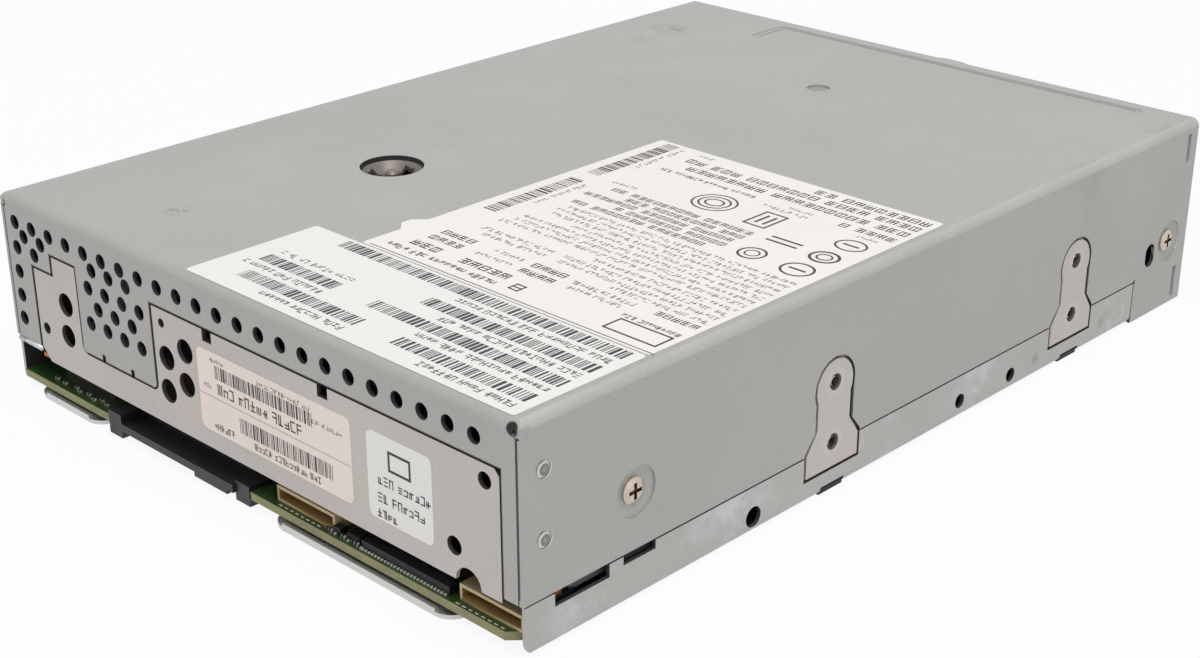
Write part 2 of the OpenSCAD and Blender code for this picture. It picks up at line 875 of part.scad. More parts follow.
module rail_cuts() {
    for (y = mount_ys) along_x(inner_w - cut_over, half_w + cut_over) tab_outline(y, tab_slit);
    for (h = rail_hole_shares) hole_x(half_w, h[0] * case_d, h[1] * case_h, h[2] * case_h, 2 * sheet_t);
    for (s = rail_foot_shares) box(
        [inner_w - rail_foot_in, s * case_d - rail_foot_len / 2, -cut_over],
        [half_w + cut_over, s * case_d + rail_foot_len / 2, rail_foot_h]
    );
}

// Slots in the upper edge of the left rail
module left_rail_slots() {
    for (s = rail_slot_shares) box(
        [-half_w - cut_over, s[0] * case_d, s[2] * case_h],
        [cut_over - inner_w, s[1] * case_d, pan_edge_z + cut_over]
    );
}

// Upturned section of the pan, open at the top
module pan_section() {
    mirror([0, 1]) difference() {
        fold_section(case_w, -pan_edge_z, 0, bend_r);
        fold_section(case_w - 2 * sheet_t, -pan_edge_z - cut_over, -sheet_t, bend_r - sheet_t);
    }
}

// Rounded lip of the pan that shows under the board
module pan_lip(span) {
    round_plate(span[1], pan_rear_y - lip_r, span[0], rear_y + rear_overhang, lip_r, sheet_t);
    box(
        [span[1] + lip_r, rear_y + rear_overhang - sheet_t, 0],
        [span[0] - lip_r, rear_y + rear_overhang, lip_h]
    );
}

module bottom_pan() {
    post_xs = [-post_x, post_x];
    color(zinc) difference() {
        union() {
            intersection() {
                along_y(step_y + seam_gap, rail_rear_y) pan_section();
                along_x(-half_w, half_w) union() {
                    translate([step_y, 0]) square([rail_rear_y - pan_corner_r - step_y, pan_edge_z]);
                    translate([step_y, pan_corner_r]) square([rail_rear_y - step_y, pan_edge_z - pan_corner_r]);
                    translate([rail_rear_y - pan_corner_r, pan_corner_r]) circle(pan_corner_r);
                }
            }
            box([-inner_w + seam_gap, front_y, 0], [inner_w - seam_gap, step_y + 2 * seam_gap, sheet_t]);
            for (x = base_hole_xs, y = mount_ys) translate([x, y, 0]) rod(base_boss_r, sheet_t + base_boss_h);
        }
        box([-inner_w, pan_rear_y, -cut_over], [inner_w, rear_y, sheet_t + cut_over]);
        both_sides() rail_cuts();
        left_rail_slots();
        for (x = base_hole_xs, y = mount_ys) translate([x, y, -cut_over])
            rod(thread_r, sheet_t + base_boss_h + 2 * cut_over);
        for (x = post_xs, y = post_ys) translate([x, y, 0]) screw_sink();
        for (s = floor_bead_shares) translate([0, 0, -cut_over]) round_plate(
            s * case_w, floor_bead_front, s * case_w + floor_bead_w, floor_bead_rear,
            floor_bead_w / 2 - seam_gap, cut_over + bead_depth
        );
    }
    color(zinc) pan_lip(lip_left);
    color(zinc) pan_lip(lip_right);
}

// Countersunk hole for a bottom screw
module screw_sink() {
    translate([0, 0, -cut_over]) rod(screw_r + pin_gap, 2 * cut_over + sheet_t);
    translate([0, 0, -pin_gap]) cylinder(r1 = screw_head_r + pin_gap, r2 = screw_r + pin_gap, h = sheet_t);
}

// Screws

// Pan head screw along +Z from its seat, head up, with a cross recess
module pan_screw(length) {
    difference() {
        union() {
            cylinder(r = screw_head_r, h = screw_head_h / 2);
            translate([0, 0, screw_head_h / 2])
                cylinder(r1 = screw_head_r, r2 = screw_head_r * head_top_share, h = screw_head_h / 2);
        }
        for (a = [0, 90]) rotate([0, 0, a]) translate([-cross_len / 2, -cross_w / 2, screw_head_h - cross_deep])
            cube([cross_len, cross_w, screw_head_h]);
    }
    translate([0, 0, -length]) cylinder(r = thread_r, h = length);
}

module cover_screws() {
    color(bright_steel) both_sides() {
        translate([half_w - dish_depth, rear_screw_y, rear_screw_z]) rotate([0, 90, 0])
            pan_screw(cover_screw_len);
        translate([half_w - dish_depth, front_screw_y, front_screw_z]) rotate([0, 90, 0])
            pan_screw(cover_screw_len);
    }
}

// Flat head screws up through pan, spacer and board into the deck's posts
module bottom_screws() {
    color(bright_steel) for (x = [-post_x, post_x], y = post_ys) translate([x, y, 0]) difference() {
        union() {
            cylinder(r1 = screw_head_r - pin_gap, r2 = thread_r, h = sheet_t);
            rod(thread_r, deck_z);
        }
        for (a = [0, 90]) rotate([0, 0, a]) translate([-cross_len / 2, -cross_w / 2, -cut_over])
            cube([cross_len, cross_w, cut_over + cross_deep / 2]);
    }
}

// Board

module board_spacers_at() {
    for (x = [-post_x, post_x], y = post_ys) translate([x, y, 0]) children();
}

module main_board() {
    wide = inner_w - board_edge_gap;
    narrow = wide - board_neck;
    iface_y = rear_y + rear_overhang - iface_d - pin_gap;
    color(board_green) difference() {
        translate([0, 0, board_z]) linear_extrude(board_t) polygon([
            [-narrow, board_front_y], [narrow, board_front_y], [narrow, board_neck_y], [wide, board_neck_y],
            [wide, rear_y], [iface_x[0] + pin_gap, rear_y], [iface_x[0] + pin_gap, iface_y],
            [iface_x[1] - pin_gap, iface_y], [iface_x[1] - pin_gap, rear_y], [-wide + board_corner, rear_y],
            [-wide, rear_y - board_corner], [-wide, board_neck_y], [-narrow, board_neck_y]
        ]);
        board_spacers_at() rod(board_hole_r, board_top + cut_over);
    }
}

module board_chips() {
    color(black_resin) for (c = chip_shares) translate([c[0] * case_w, c[1] * case_d, board_top])
        linear_extrude(chip_t) square([c[2] * case_w, c[3] * case_d], center = true);
}

module board_standoffs() {
    color(brass) board_spacers_at() translate([0, 0, sheet_t]) difference() {
        rod(post_r, board_z - sheet_t);
        translate([0, 0, -cut_over]) rod(board_hole_r, board_z + cut_over);
    }
}

// Low box header open to the rear, with a contact tongue inside
module socket(span) {
    face_y = rear_y - socket_inset;
    tongue_h = (socket_h - 2 * socket_wall) * tongue_share;
    mid_z = board_top + socket_h / 2;
    color(cream) {
        difference() {
            box([span[1], face_y - socket_d, board_top], [span[0], face_y, board_top + socket_h]);
            box(
                [span[1] + socket_wall, face_y - socket_d + socket_floor, board_top + socket_wall],
                [span[0] - socket_wall, face_y + cut_over, board_top + socket_h - socket_wall]
            );
        }
        box(
            [span[1] + 2 * socket_wall, face_y - socket_d + socket_floor / 2, mid_z - tongue_h / 2],
            [span[0] - 2 * socket_wall, face_y - socket_floor, mid_z + tongue_h / 2]
        );
    }
}

module service_connector() {
    socket(service_x);
}

module power_connector() {
    socket(power_x);
}

// Wide plug in a cut-out of the board: a flat blade between two guide lugs, keyed underneath
module interface_connector() {
    back_y = rear_y + rear_overhang - iface_d;
    face_y = rear_y + rear_overhang;
    body_y = face_y - iface_blade_d;
    color(black_resin) {
        box([iface_x[1], back_y, board_z], [iface_x[0], body_y, iface_top]);
        box([iface_x[1] + iface_lug_w, body_y - pin_gap, board_z], [iface_x[0] - iface_lug_w, face_y, board_top]);
        box([iface_x[0] - iface_lug_w, body_y - pin_gap, iface_low], [iface_x[0], face_y, iface_lug_top]);
        box(
            [iface_x[1], body_y - pin_gap, iface_low],
            [iface_x[1] + iface_lug_w, face_y - iface_lug_set, board_top + iface_key_h]
        );
        box([iface_key[1], body_y - pin_gap, board_z - iface_key_h], [iface_key[0], face_y, board_top - pin_gap]);
    }
}

// Deck

module deck() {
    color(cast_alloy) difference() {
        union() {
            box([-plate_x, deck_front_y, deck_z], [plate_x, deck_rear_y, deck_top]);
            board_spacers_at() translate([0, 0, board_top]) rod(post_r, deck_z - board_top + cut_over);
            both_sides() box(
                [plate_x - boss_w, rear_screw_y - boss_len / 2, deck_top - cut_over],
                [plate_x, rear_screw_y + boss_len / 2, rear_screw_z + boss_over]
            );
            translate([0, 0, deck_z]) for (at = [hub_at, supply_at]) translate(at)
                rod(motor_r * deck_ring_share, deck_t);
        }
        board_spacers_at() translate([0, 0, board_top - cut_over]) rod(thread_r + pin_gap, deck_z - board_top + deck_t / 2);
        both_sides() hole_x(plate_x, rear_screw_y, rear_screw_z, thread_r + pin_gap, cover_screw_len);
        for (at = [hub_at, supply_at]) translate([at[0], at[1], deck_z - cut_over])
            rod(deck_hole_r, deck_t + 2 * cut_over);
        for (s = deck_window_shares) translate([0, 0, deck_z - cut_over]) round_plate(
            s[0] * case_w, s[1] * case_d, s[2] * case_w, s[3] * case_d, deck_window_r, deck_t + 2 * cut_over
        );
    }
}

// Cup under the cover that steadies the end of the threading pin
module hub_cup() {
    floor_z = inner_top - cup_depth;
    color(bright_steel) translate([reel_x, reel_y, 0]) {
        difference() {
            rotate_extrude() polygon([
                [0, floor_z], [cup_floor_r, floor_z], [cup_rim_r, inner_top - cup_t], [cup_flange_r, inner_top - cup_t],
                [cup_flange_r, inner_top], [cup_rim_r - cup_t, inner_top], [cup_floor_r - cup_t, floor_z + cup_t],
                [0, floor_z + cup_t]
            ]);
            for (a = [30, 150, 270]) rotate([0, 0, a]) translate([cup_window_in, -cup_window_w / 2, floor_z - cup_t])
                cube([cup_window_out - cup_window_in, cup_window_w, cup_depth + cup_t / 2]);
        }
        translate([0, 0, floor_z]) rod(cup_pin_r, cup_depth * cup_pin_share);
        translate([0, 0, floor_z + cup_depth * cup_pin_share])
            cylinder(r1 = cup_pin_r, r2 = cup_pin_r * head_top_share, h = cup_t);
    }
}

// Reel motors

module motor_can(at, can_r, top_z, shaft, shaft_z) {
    color(bright_steel) translate([at[0], at[1], deck_top]) {
        difference() {
            rod(can_r, top_z - deck_top);
            translate([0, 0, motor_floor]) rod(motor_well_r, top_z);
        }
        rod(shaft, shaft_z - deck_top);
    }
}

module take_up_motor() {
    motor_can(hub_at, motor_r, reel_low - flange_t - motor_gap, shaft_r, reel_low);
}

module supply_motor() {
    motor_can(supply_at, supply_motor_r, supply_can_z, shaft_r - shaft_step, clutch_top - clutch_tooth_h);
}

// Ring about the threader's pivot that the leader block follows into the reel
module threading_path(spread, low, high) {
    translate([pivot_at[0], pivot_at[1], low]) linear_extrude(high - low) intersection() {
        difference() {
            circle(arc_r + spread);
            circle(arc_r - spread);
        }
        rotate(hub_angle) translate([0, 0]) square([2 * arc_r, arc_r]);
    }
}

module take_up_reel() {
    color(white_resin) difference() {
        union() {
            translate([reel_x, reel_y, reel_low - flange_t]) rod(reel_r, flange_t);
            translate([reel_x, reel_y, reel_high]) rod(reel_r, flange_t);
            translate([reel_x, reel_y, reel_low - flange_t]) rod(hub_r, reel_high - reel_low + 2 * flange_t);
            translate([reel_x, reel_y, deck_top + motor_floor + motor_gap])
                rod(hub_skirt_r, reel_low - deck_top - motor_floor - motor_gap);
        }
        translate([reel_x, reel_y, reel_low]) rod(hub_bore, reel_high - reel_low);
        translate([reel_x, reel_y, deck_top]) rod(shaft_r + shaft_gap, reel_low - deck_top + cut_over);
        translate([reel_x, reel_y, reel_high - cut_over]) rod(arm_pin_r + block_slot, 2 * cut_over + flange_t);
        threading_path(arm_pin_r + block_slot, reel_high - cut_over, reel_high + flange_t + cut_over);
        threading_path(block_w / 2 + block_slot, reel_low, reel_high);
        for (a = reel_window_angles) translate([reel_x, reel_y, reel_low - flange_t - cut_over]) rotate(a)
            translate([(hub_r + reel_r) / 2, 0, 0]) rod(reel_window_r, flange_t + 2 * cut_over);
    }
}

module supply_clutch() {
    color(brass) translate([supply_at[0], supply_at[1], 0]) {
        difference() {
            union() {
                translate([0, 0, supply_can_z + motor_gap])
                    rod(clutch_r, clutch_top - clutch_tooth_h - supply_can_z - motor_gap);
                translate([0, 0, deck_top + motor_floor + motor_gap])
                    rod(motor_well_r - 2 * motor_gap, clutch_top - clutch_tooth_h - deck_top - motor_floor - motor_gap);
            }
            translate([0, 0, deck_top]) rod(shaft_r - shaft_step + shaft_gap, clutch_top);
        }
        for (i = [0:clutch_teeth - 1]) rotate(i * 360 / clutch_teeth)
            translate([0, 0, clutch_top - clutch_tooth_h - clutch_root]) linear_extrude(clutch_tooth_h + clutch_root)
                polygon(clutch_tooth());
    }
}

// One radial tooth of the clutch's face
function clutch_tooth() = let (a = 90 / clutch_teeth, r0 = clutch_r * clutch_in_share, r1 = clutch_r - clutch_root)
    [
        r0 * [cos(a), -sin(a)], r1 * [cos(a), -sin(a)], r1 * [cos(a), sin(a)], r0 * [cos(a), sin(a)]
    ];

// Guide rollers

function roller_at(i) = pivot_at + roller_orbit * [cos(roller_angles[i]), sin(roller_angles[i])];

module guide_roller(i) {
    at = roller_at(i);
    face = tape_w + 2 * roller_play;
    color(bright_steel) translate([at[0], at[1], tape_mid]) difference() {
        union() {
            translate([0, 0, -face / 2 - roller_flange_t]) rod(roller_flange_r, roller_flange_t);
            translate([0, 0, -face / 2 - roller_flange_t]) rod(roller_r, face + 2 * roller_flange_t);
            translate([0, 0, face / 2]) rod(roller_flange_r, roller_flange_t);
        }
        translate([0, 0, -face]) rod(roller_pin_r + shaft_gap, 2 * face);
    }
}

module guide_roller_1() {
    guide_roller(0);
}

module guide_roller_2() {
    guide_roller(1);
}

module guide_roller_3() {
    guide_roller(2);
}

module guide_roller_4() {
    guide_roller(3);
}

module roller_pins() {
    half = tape_w / 2 + roller_play + roller_flange_t + roller_play;
    color(bright_steel) for (i = [0:3]) translate([roller_at(i)[0], roller_at(i)[1], 0]) {
        translate([0, 0, deck_top]) rod(roller_pin_r + roller_flange_t, tape_mid - half - deck_top);
        translate([0, 0, deck_top]) rod(roller_pin_r, tape_mid + half + roller_flange_t - deck_top);
        translate([0, 0, tape_mid + half]) rod(roller_r * cap_share, roller_flange_t);
    }
}

// Head actuator, drawn with the pivot at the origin and the head towards +X

module at_head() {
    translate([pivot_at[0], pivot_at[1], 0]) rotate(head_angle) children();
}

module head_block() {
    back = head_reach - head_depth;
    color(cast_alloy) at_head() translate([0, 0, tape_mid - tape_w / 2]) {
        linear_extrude(tape_w) translate([back, -head_w / 2]) square([head_depth / 2, head_w]);
        for (s = head_bump_shares) linear_extrude(tape_w) polygon([
            [back + head_depth / 3, s * head_w - head_bump_w], [back + head_depth, s * head_w - head_bump_w / 3],
            [back + head_depth, s * head_w + head_bump_w / 3], [back + head_depth / 3, s * head_w + head_bump_w]
        ]);
    }
}

module head_carriage() {
    back = head_reach - head_depth;
    color(cast_alloy) at_head() translate([0, 0, tape_mid - carriage_t / 2]) difference() {
        linear_extrude(carriage_t) union() {
            translate([carriage_in, -carriage_w / 2]) square([carriage_out - carriage_in, carriage_w]);
            translate([carriage_out - pin_gap, -head_w * neck_share / 2])
                square([back - carriage_out + pin_gap, head_w * neck_share]);
            translate([lead_at, 0]) circle(lead_r + nut_wall);
            translate([lead_at, -lead_r]) square([carriage_in - lead_at + pin_gap, 2 * lead_r]);
        }
        translate([lead_at, 0, -cut_over]) rod(lead_r + shaft_gap, carriage_t + 2 * cut_over);
        for (s = [-1, 1]) translate([guide_post_at, s * guide_post_side, -cut_over])
            rod(guide_post_r + shaft_gap, carriage_t + 2 * cut_over);
    }
}

module head_guide_posts() {
    color(bright_steel) at_head() for (s = [-1, 1]) translate([guide_post_at, s * guide_post_side, deck_top])
        rod(guide_post_r, reel_high + flange_t - deck_top);
}

module head_stepper() {
    color(bright_steel) at_head() translate([lead_at, 0, deck_top]) difference() {
        rod(stepper_r, stepper_h);
        translate([0, 0, stepper_h - stepper_well]) rod(lead_r + 2 * shaft_gap, stepper_h);
    }
}

// Lead screw with a grooved working length
module head_lead_screw() {
    low = deck_top + stepper_h - stepper_well + shaft_gap;
    color(brass) at_head() translate([lead_at, 0, low]) difference() {
        rod(lead_r, reel_high + flange_t - low);
        for (i = [1:lead_grooves]) translate([0, 0, stepper_well + i * lead_pitch]) difference() {
            rod(2 * lead_r, lead_pitch / 3);
            translate([0, 0, -lead_pitch]) rod(lead_r - lead_groove, 3 * lead_pitch);
        }
    }
}

// Toothed wheels

function involute_share(r, base) = sqrt(pow(max(r, base) / base, 2) - 1) * 180 / PI - acos(base / max(r, base));

// Half angle of a tooth at radius r, thinned by the gear clearance
function tooth_half(r, pitch, base, n) =
    90 / n - gear_space / (4 * pitch) * 180 / PI + involute_share(pitch, base) - involute_share(r, base);

function tooth_side(radii, pitch, base, n, side) =
    [for (r = radii) r * [cos(tooth_half(r, pitch, base, n)), side * sin(tooth_half(r, pitch, base, n))]];

// Involute spur wheel of n teeth, with one tooth along +X
module spur_wheel(m, n) {
    pitch = m * n / 2;
    base = pitch * cos(pressure_angle);
    root = pitch - m * dedendum_share;
    tip = pitch + m * addendum_share;
    radii = [for (i = [0:4]) root - m * root_share + (tip - root + m * root_share) * i / 4];
    down = tooth_side(radii, pitch, base, n, -1);
    up = tooth_side(radii, pitch, base, n, 1);
    circle(root);
    for (k = [0:n - 1]) rotate(k * 360 / n) polygon(concat(down, [for (i = [4:-1:0]) up[i]]));
}

// Threader

module threader_post() {
    color(bright_steel) translate([pivot_at[0], pivot_at[1], deck_top]) {
        rod(post_shaft_r + post_shoulder, arm_z - post_play - deck_top);
        rod(post_shaft_r, arm_z + arm_t + gear_t + post_play + post_cap_t - deck_top);
        translate([0, 0, arm_z + arm_t + gear_t + post_play - deck_top]) rod(post_shaft_r + post_shoulder, post_cap_t);
    }
}

// Arm from the pivot to the leader block, with its gear on top
module threader_arm() {
    tip = pivot_at + arc_r * [cos(door_angle), sin(door_angle)];
    color(cast_alloy) {
        translate([pivot_at[0], pivot_at[1], 0]) rotate(door_angle) difference() {
            union() {
                translate([0, 0, arm_z]) linear_extrude(arm_t) union() {
                    circle(arm_w * arm_hub_share);
                    translate([arc_r, 0]) circle(arm_w / 2);
                    polygon([[0, -arm_w * arm_hub_share], [arc_r, -arm_w / 2], [arc_r, arm_w / 2], [0, arm_w * arm_hub_share]]);
                }
                translate([0, 0, arm_z + arm_t]) linear_extrude(gear_t)
                    rotate(arm_gear_turn) spur_wheel(threader_module, arm_teeth);
            }
            translate([0, 0, arm_z - cut_over]) rod(post_shaft_r + shaft_gap, arm_t + gear_t + 2 * cut_over);
            translate([arc_r / 2, 0, arm_z - cut_over]) rod(arm_w / 4, arm_t + 2 * cut_over);
        }
        translate([tip[0], tip[1], tape_mid]) rod(arm_pin_r, arm_z + arm_t / 2 - tape_mid);
    }
}

// Block that takes hold of the leader pin and docks in the reel's hub
module leader_block() {
    color(white_resin) translate([pivot_at[0], pivot_at[1], tape_mid - block_h / 2]) rotate(door_angle) difference() {
        translate([arc_r - block_w / 2, -block_len / 2, 0]) cube([block_w, block_len, block_h]);
        translate([arc_r, 0, block_h / 2 - pin_gap]) rod(arm_pin_r + pin_gap, block_h);
        translate([arc_r + block_w / 4, -block_len / 2 - cut_over, block_h * hook_share])
            cube([block_w, block_len / 3, block_h * (1 - 2 * hook_share)]);
    }
}

module threader_motor() {
    color(bright_steel) translate([threader_at[0], threader_at[1], deck_top]) difference() {
        union() {
            rod(small_motor_r, threader_motor_top - deck_top - motor_gap);
            rod(small_motor_r * neck_share, threader_motor_top - deck_top);
        }
        translate([0, 0, threader_motor_top - deck_top - shaft_engage]) rod(motor_shaft_r + shaft_gap, shaft_engage + cut_over);
    }
}

module threader_pinion() {
    low = threader_motor_top - shaft_engage + shaft_gap;
    color(brass) translate([threader_at[0], threader_at[1], 0]) {
        translate([0, 0, low]) rod(motor_shaft_r, arm_z + arm_t + gear_t - low);
        translate([0, 0, arm_z + arm_t]) linear_extrude(gear_t)
            rotate(90 + 180 / threader_teeth) spur_wheel(threader_module, threader_teeth);
    }
}

// Loader

// Slot in Y and Z with round ends, from low to high
module slot_section(y0, y1, z0, z1, r) {
    translate([y0 - r, z0]) square([y1 - y0 + 2 * r, z1 - z0]);
    translate([y0, z0 - r]) square([y1 - y0, z1 - z0 + 2 * r]);
    for (y = [y0, y1], z = [z0, z1]) translate([y, z]) circle(r);
}

// Upright slot with round ends
module upright_slot(y, z0, z1, r) {
    translate([y - r, z0]) square([2 * r, z1 - z0]);
    for (z = [z0, z1]) translate([y, z]) circle(r);
}

module loader_guide() {
    color(warm_zinc) difference() {
        union() {
            box([guide_in, guide_front_y, guide_low_z], [guide_out, guide_rear_y, guide_high_z]);
            for (y = [guide_front_y, guide_rear_y - guide_foot]) {
                box([guide_in, y, deck_top], [guide_out, y + guide_foot, guide_high_z]);
                box([guide_in, y, deck_top], [guide_out + guide_foot * foot_share, y + guide_foot, deck_top + loader_t]);
            }
        }
        for (y = tray_pin_ys) along_x(guide_in - cut_over, guide_out + cut_over)
            slot_section(y, y + load_travel, tray_pin_z - drop_travel, tray_pin_z, tray_pin_r + 2 * pin_gap);
    }
}

module loader_guide_right() {
    loader_guide();
}

module loader_guide_left() {
    mirror([1, 0, 0]) loader_guide();
}

module slider_side() {
    difference() {
        box([slider_in, slider_front_y, slider_low_z], [slider_out, slider_rear_y, strap_z + strap_t]);
        for (y = tray_pin_ys) along_x(slider_in - cut_over, slider_out + cut_over)
            upright_slot(y, tray_pin_z - drop_travel, tray_pin_z, tray_pin_r + pin_gap);
        along_x(slider_in - cut_over, slider_out + cut_over) slot_section(
            tray_pin_ys[0] + slider_window, tray_pin_ys[1] - slider_window,
            tray_pin_z - drop_travel, tray_pin_z, tray_pin_r
        );
    }
}

// Straight toothed rack on the right side of the slider
module slider_rack() {
    p = rack_module * PI;
    half = p / 4 - gear_space / 4;
    tip = rack_module * addendum_share;
    root = rack_module * rack_root_share;
    lean = tan(pressure_angle);
    y0 = pinion_at[1];
    translate([0, 0, slider_low_z]) linear_extrude(rack_h) {
        translate([slider_out - pin_gap, y0 + (rack_first - 1) * p])
            square([rack_line_x - root - slider_out + pin_gap, (rack_last - rack_first + 2) * p]);
        for (k = [rack_first:rack_last]) translate([rack_line_x, y0 + (k - 1 / 2) * p]) polygon([
            [-root - pin_gap, -half - (root + pin_gap) * lean], [tip, -half + tip * lean],
            [tip, half - tip * lean], [-root - pin_gap, half + (root + pin_gap) * lean]
        ]);
    }
}

module loader_slider() {
    mid = (tray_pin_ys[0] + tray_pin_ys[1]) / 2;
    color(zinc) {
        both_sides() slider_side();
        box([-slider_out, mid - strap_w / 2, strap_z], [slider_out, mid + strap_w / 2, strap_z + strap_t]);
        slider_rack();
    }
}

// Open tray that holds the cartridge by its lower edges
module tray_half_side() {
    low = cart_raised_z - loader_t;
    box([tray_half, tray_front_y, low], [tray_out, tray_rear_y, tray_top + loader_t]);
    box([tray_half - tray_lip, tray_front_y, low], [tray_out, tray_rear_y, low + loader_t]);
    for (y = tray_pin_ys) translate([tray_half + loader_t / 2, y, tray_pin_z]) rotate([0, 90, 0])
        rod(tray_pin_r, guide_out - tray_half - loader_t / 2);
    box(
        [tray_half * stop_in_share, tray_rear_y - loader_t, tray_top - stop_h],
        [tray_half * stop_out_share, tray_rear_y, tray_top + loader_t / 2]
    );
}

module cartridge_tray() {
    color(warm_zinc) difference() {
        tray_body();
        box(
            [-tray_out - cut_over, tray_rear_y - tray_corner_d, tray_corner_z],
            [tray_corner_w - tray_out, tray_rear_y + cut_over, tray_top + loader_t + cut_over]
        );
    }
}

module tray_body() {
    union() {
        both_sides() tray_half_side();
        difference() {
            box([-tray_out, tray_front_y, tray_top], [tray_out, tray_rear_y, tray_top + loader_t]);
            for (s = tray_window_shares) translate([0, 0, tray_top - cut_over]) round_plate(
                s[0] * cart_w, tray_front_y + tray_window_front_share * cart_d,
                s[1] * cart_w, tray_rear_y - tray_window_end, tray_window_r, loader_t + 2 * cut_over
            );
        }
    }
}

module loader_bracket() {
    x0 = guide_out + slide_gap;
    x1 = pinion_at[0] + pinion_r + bracket_edge;
    y0 = pinion_at[1] - bracket_len / 2;
    y1 = pinion_at[1] + bracket_len / 2;
    color(warm_zinc) difference() {
        union() {
            box([x0, y0, motor_plate_z], [x1, y1, motor_plate_z + motor_plate_t]);
            for (y = [y0, y1 - loader_t]) box([x0, y, deck_top], [x1, y + loader_t, motor_plate_z + motor_plate_t / 2]);
        }
        translate([pinion_at[0], pinion_at[1], motor_plate_z - cut_over])
            rod(motor_shaft_r * 2, motor_plate_t + 2 * cut_over);
    }
}

module loader_motor() {
    low = motor_plate_z + motor_plate_t;
    color(bright_steel) translate([pinion_at[0], pinion_at[1], low]) difference() {
        union() {
            rod(loader_motor_r, loader_motor_h);
            translate([0, 0, loader_motor_h]) rod(loader_motor_r * neck_share, motor_gap * 2);
        }
        translate([0, 0, -cut_over]) rod(motor_shaft_r + shaft_gap, shaft_engage + cut_over);
    }
}

module loader_pinion() {
    low = slider_low_z - slide_gap / 2;
    color(brass) translate([pinion_at[0], pinion_at[1], low]) {
        linear_extrude(rack_h + slide_gap) spur_wheel(rack_module, pinion_teeth);
        rod(motor_shaft_r, motor_plate_z + motor_plate_t + shaft_engage - shaft_gap - low);
    }
}

// Front frame

module front_frame() {
    half = inner_w - frame_gap;
    slot_half = cart_w / 2 + slot_side;
    high = inner_top - frame_gap;
    pocket_y = frame_front_y + frame_wall;
    color(black_resin) difference() {
        box([-half, frame_front_y, sheet_t], [half, frame_rear_y, high]);
        box([-slot_half, front_y, slot_low_z], [slot_half, frame_rear_y + cut_over, slot_high_z]);
        box(
            [-slot_half - slot_rim, front_y, slot_low_z - slot_rim],
            [slot_half + slot_rim, frame_front_y + slot_rim / 2, slot_high_z + slot_rim / 3]
        );
        both_sides() hole_x(half, front_screw_y, front_screw_z, thread_r + pin_gap, cover_screw_len);
        both_sides() hole_x(half_w, front_screw_y, front_screw_z, dish_r + 2 * dish_play, 2 * sheet_t + dish_depth);
        box(
            [pillar_mid_x - pocket_w / 2, pocket_y, pocket_low_z],
            [pillar_mid_x + pocket_w / 2, frame_rear_y + cut_over, high - frame_wall]
        );
        box(
            [pillar_mid_x - button_w / 2 - button_gap, front_y, button_z - button_h / 2 - button_gap],
            [pillar_mid_x + button_w / 2 + button_gap, pocket_y + cut_over, button_z + button_h / 2 + button_gap]
        );
        box(
            [pillar_mid_x - window_w / 2, front_y, window_z - window_h / 2],
            [pillar_mid_x + window_w / 2, pocket_y + cut_over, window_z + window_h / 2]
        );
        both_sides() box(
            [slot_half * frame_cut_shares[0], frame_front_y + frame_wall, sheet_t - cut_over],
            [slot_half * frame_cut_shares[1], frame_rear_y + cut_over, slot_low_z - frame_wall]
        );
    }
}

module eject_button() {
    flange_y = frame_front_y + frame_wall + button_gap;
    color(button_blue) {
        box(
            [pillar_mid_x - button_w / 2, front_y + button_gap, button_z - button_h / 2],
            [pillar_mid_x + button_w / 2, flange_y + button_flange / 2, button_z + button_h / 2]
        );
        box(
            [pillar_mid_x - button_w / 2 - button_flange, flange_y, button_z - button_h / 2 - button_flange],
            [pillar_mid_x + button_w / 2 + button_flange, flange_y + button_flange, button_z + button_h / 2 + button_flange]
        );
        translate([pillar_mid_x, flange_y, button_z]) rotate([-90, 0, 0])
            rod(screw_r, card_y - switch_h - button_travel - button_gap - flange_y);
    }
}

module display_window() {
    color([0.25, 0.05, 0.05]) box(
        [pillar_mid_x - window_w / 2 + pin_gap, frame_front_y + pin_gap, window_z - window_h / 2 + pin_gap],
        [pillar_mid_x + window_w / 2 - pin_gap, frame_front_y + frame_wall, window_z + window_h / 2 - pin_gap]
    );
}

// Card behind the front frame with the button's switch and the display
module operator_card() {
    color(board_green) {
        box(
            [pillar_mid_x - pocket_w / 2 + pin_gap, card_y, pocket_low_z + pin_gap],
            [pillar_mid_x + pocket_w / 2 - pin_gap, card_y + card_t, window_z + window_h / 2]
        );
        translate([pillar_mid_x, card_y, button_z]) rotate([90, 0, 0]) rod(screw_head_r, switch_h);
        box(
            [pillar_mid_x - window_w / 2, card_y - display_deep, window_z - window_h / 2],
            [pillar_mid_x + window_w / 2, card_y, window_z + window_h / 2]
        );
    }
}

top_cover();
bottom_pan();
rear_panel();
mount_plate_left();
mount_plate_right();
cover_screws();
bottom_screws();
cover_label_rear();
cover_label_front();
panel_label_wide();
panel_label_narrow();
front_frame();
eject_button();
display_window();
operator_card();
main_board();
board_chips();
interface_connector();
service_connector();
power_connector();
board_standoffs();
deck();
hub_cup();
take_up_motor();
take_up_reel();
supply_motor();
supply_clutch();
guide_roller_1();
guide_roller_2();
guide_roller_3();
guide_roller_4();
roller_pins();
head_block();
head_carriage();
head_guide_posts();
head_stepper();
head_lead_screw();
threader_post();
threader_arm();
leader_block();
threader_motor();
threader_pinion();
loader_guide_left();
loader_guide_right();
loader_slider();
cartridge_tray();
loader_bracket();
loader_motor();
loader_pinion();
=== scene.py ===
import bpy
import math
import random
from mathutils import Matrix, Vector


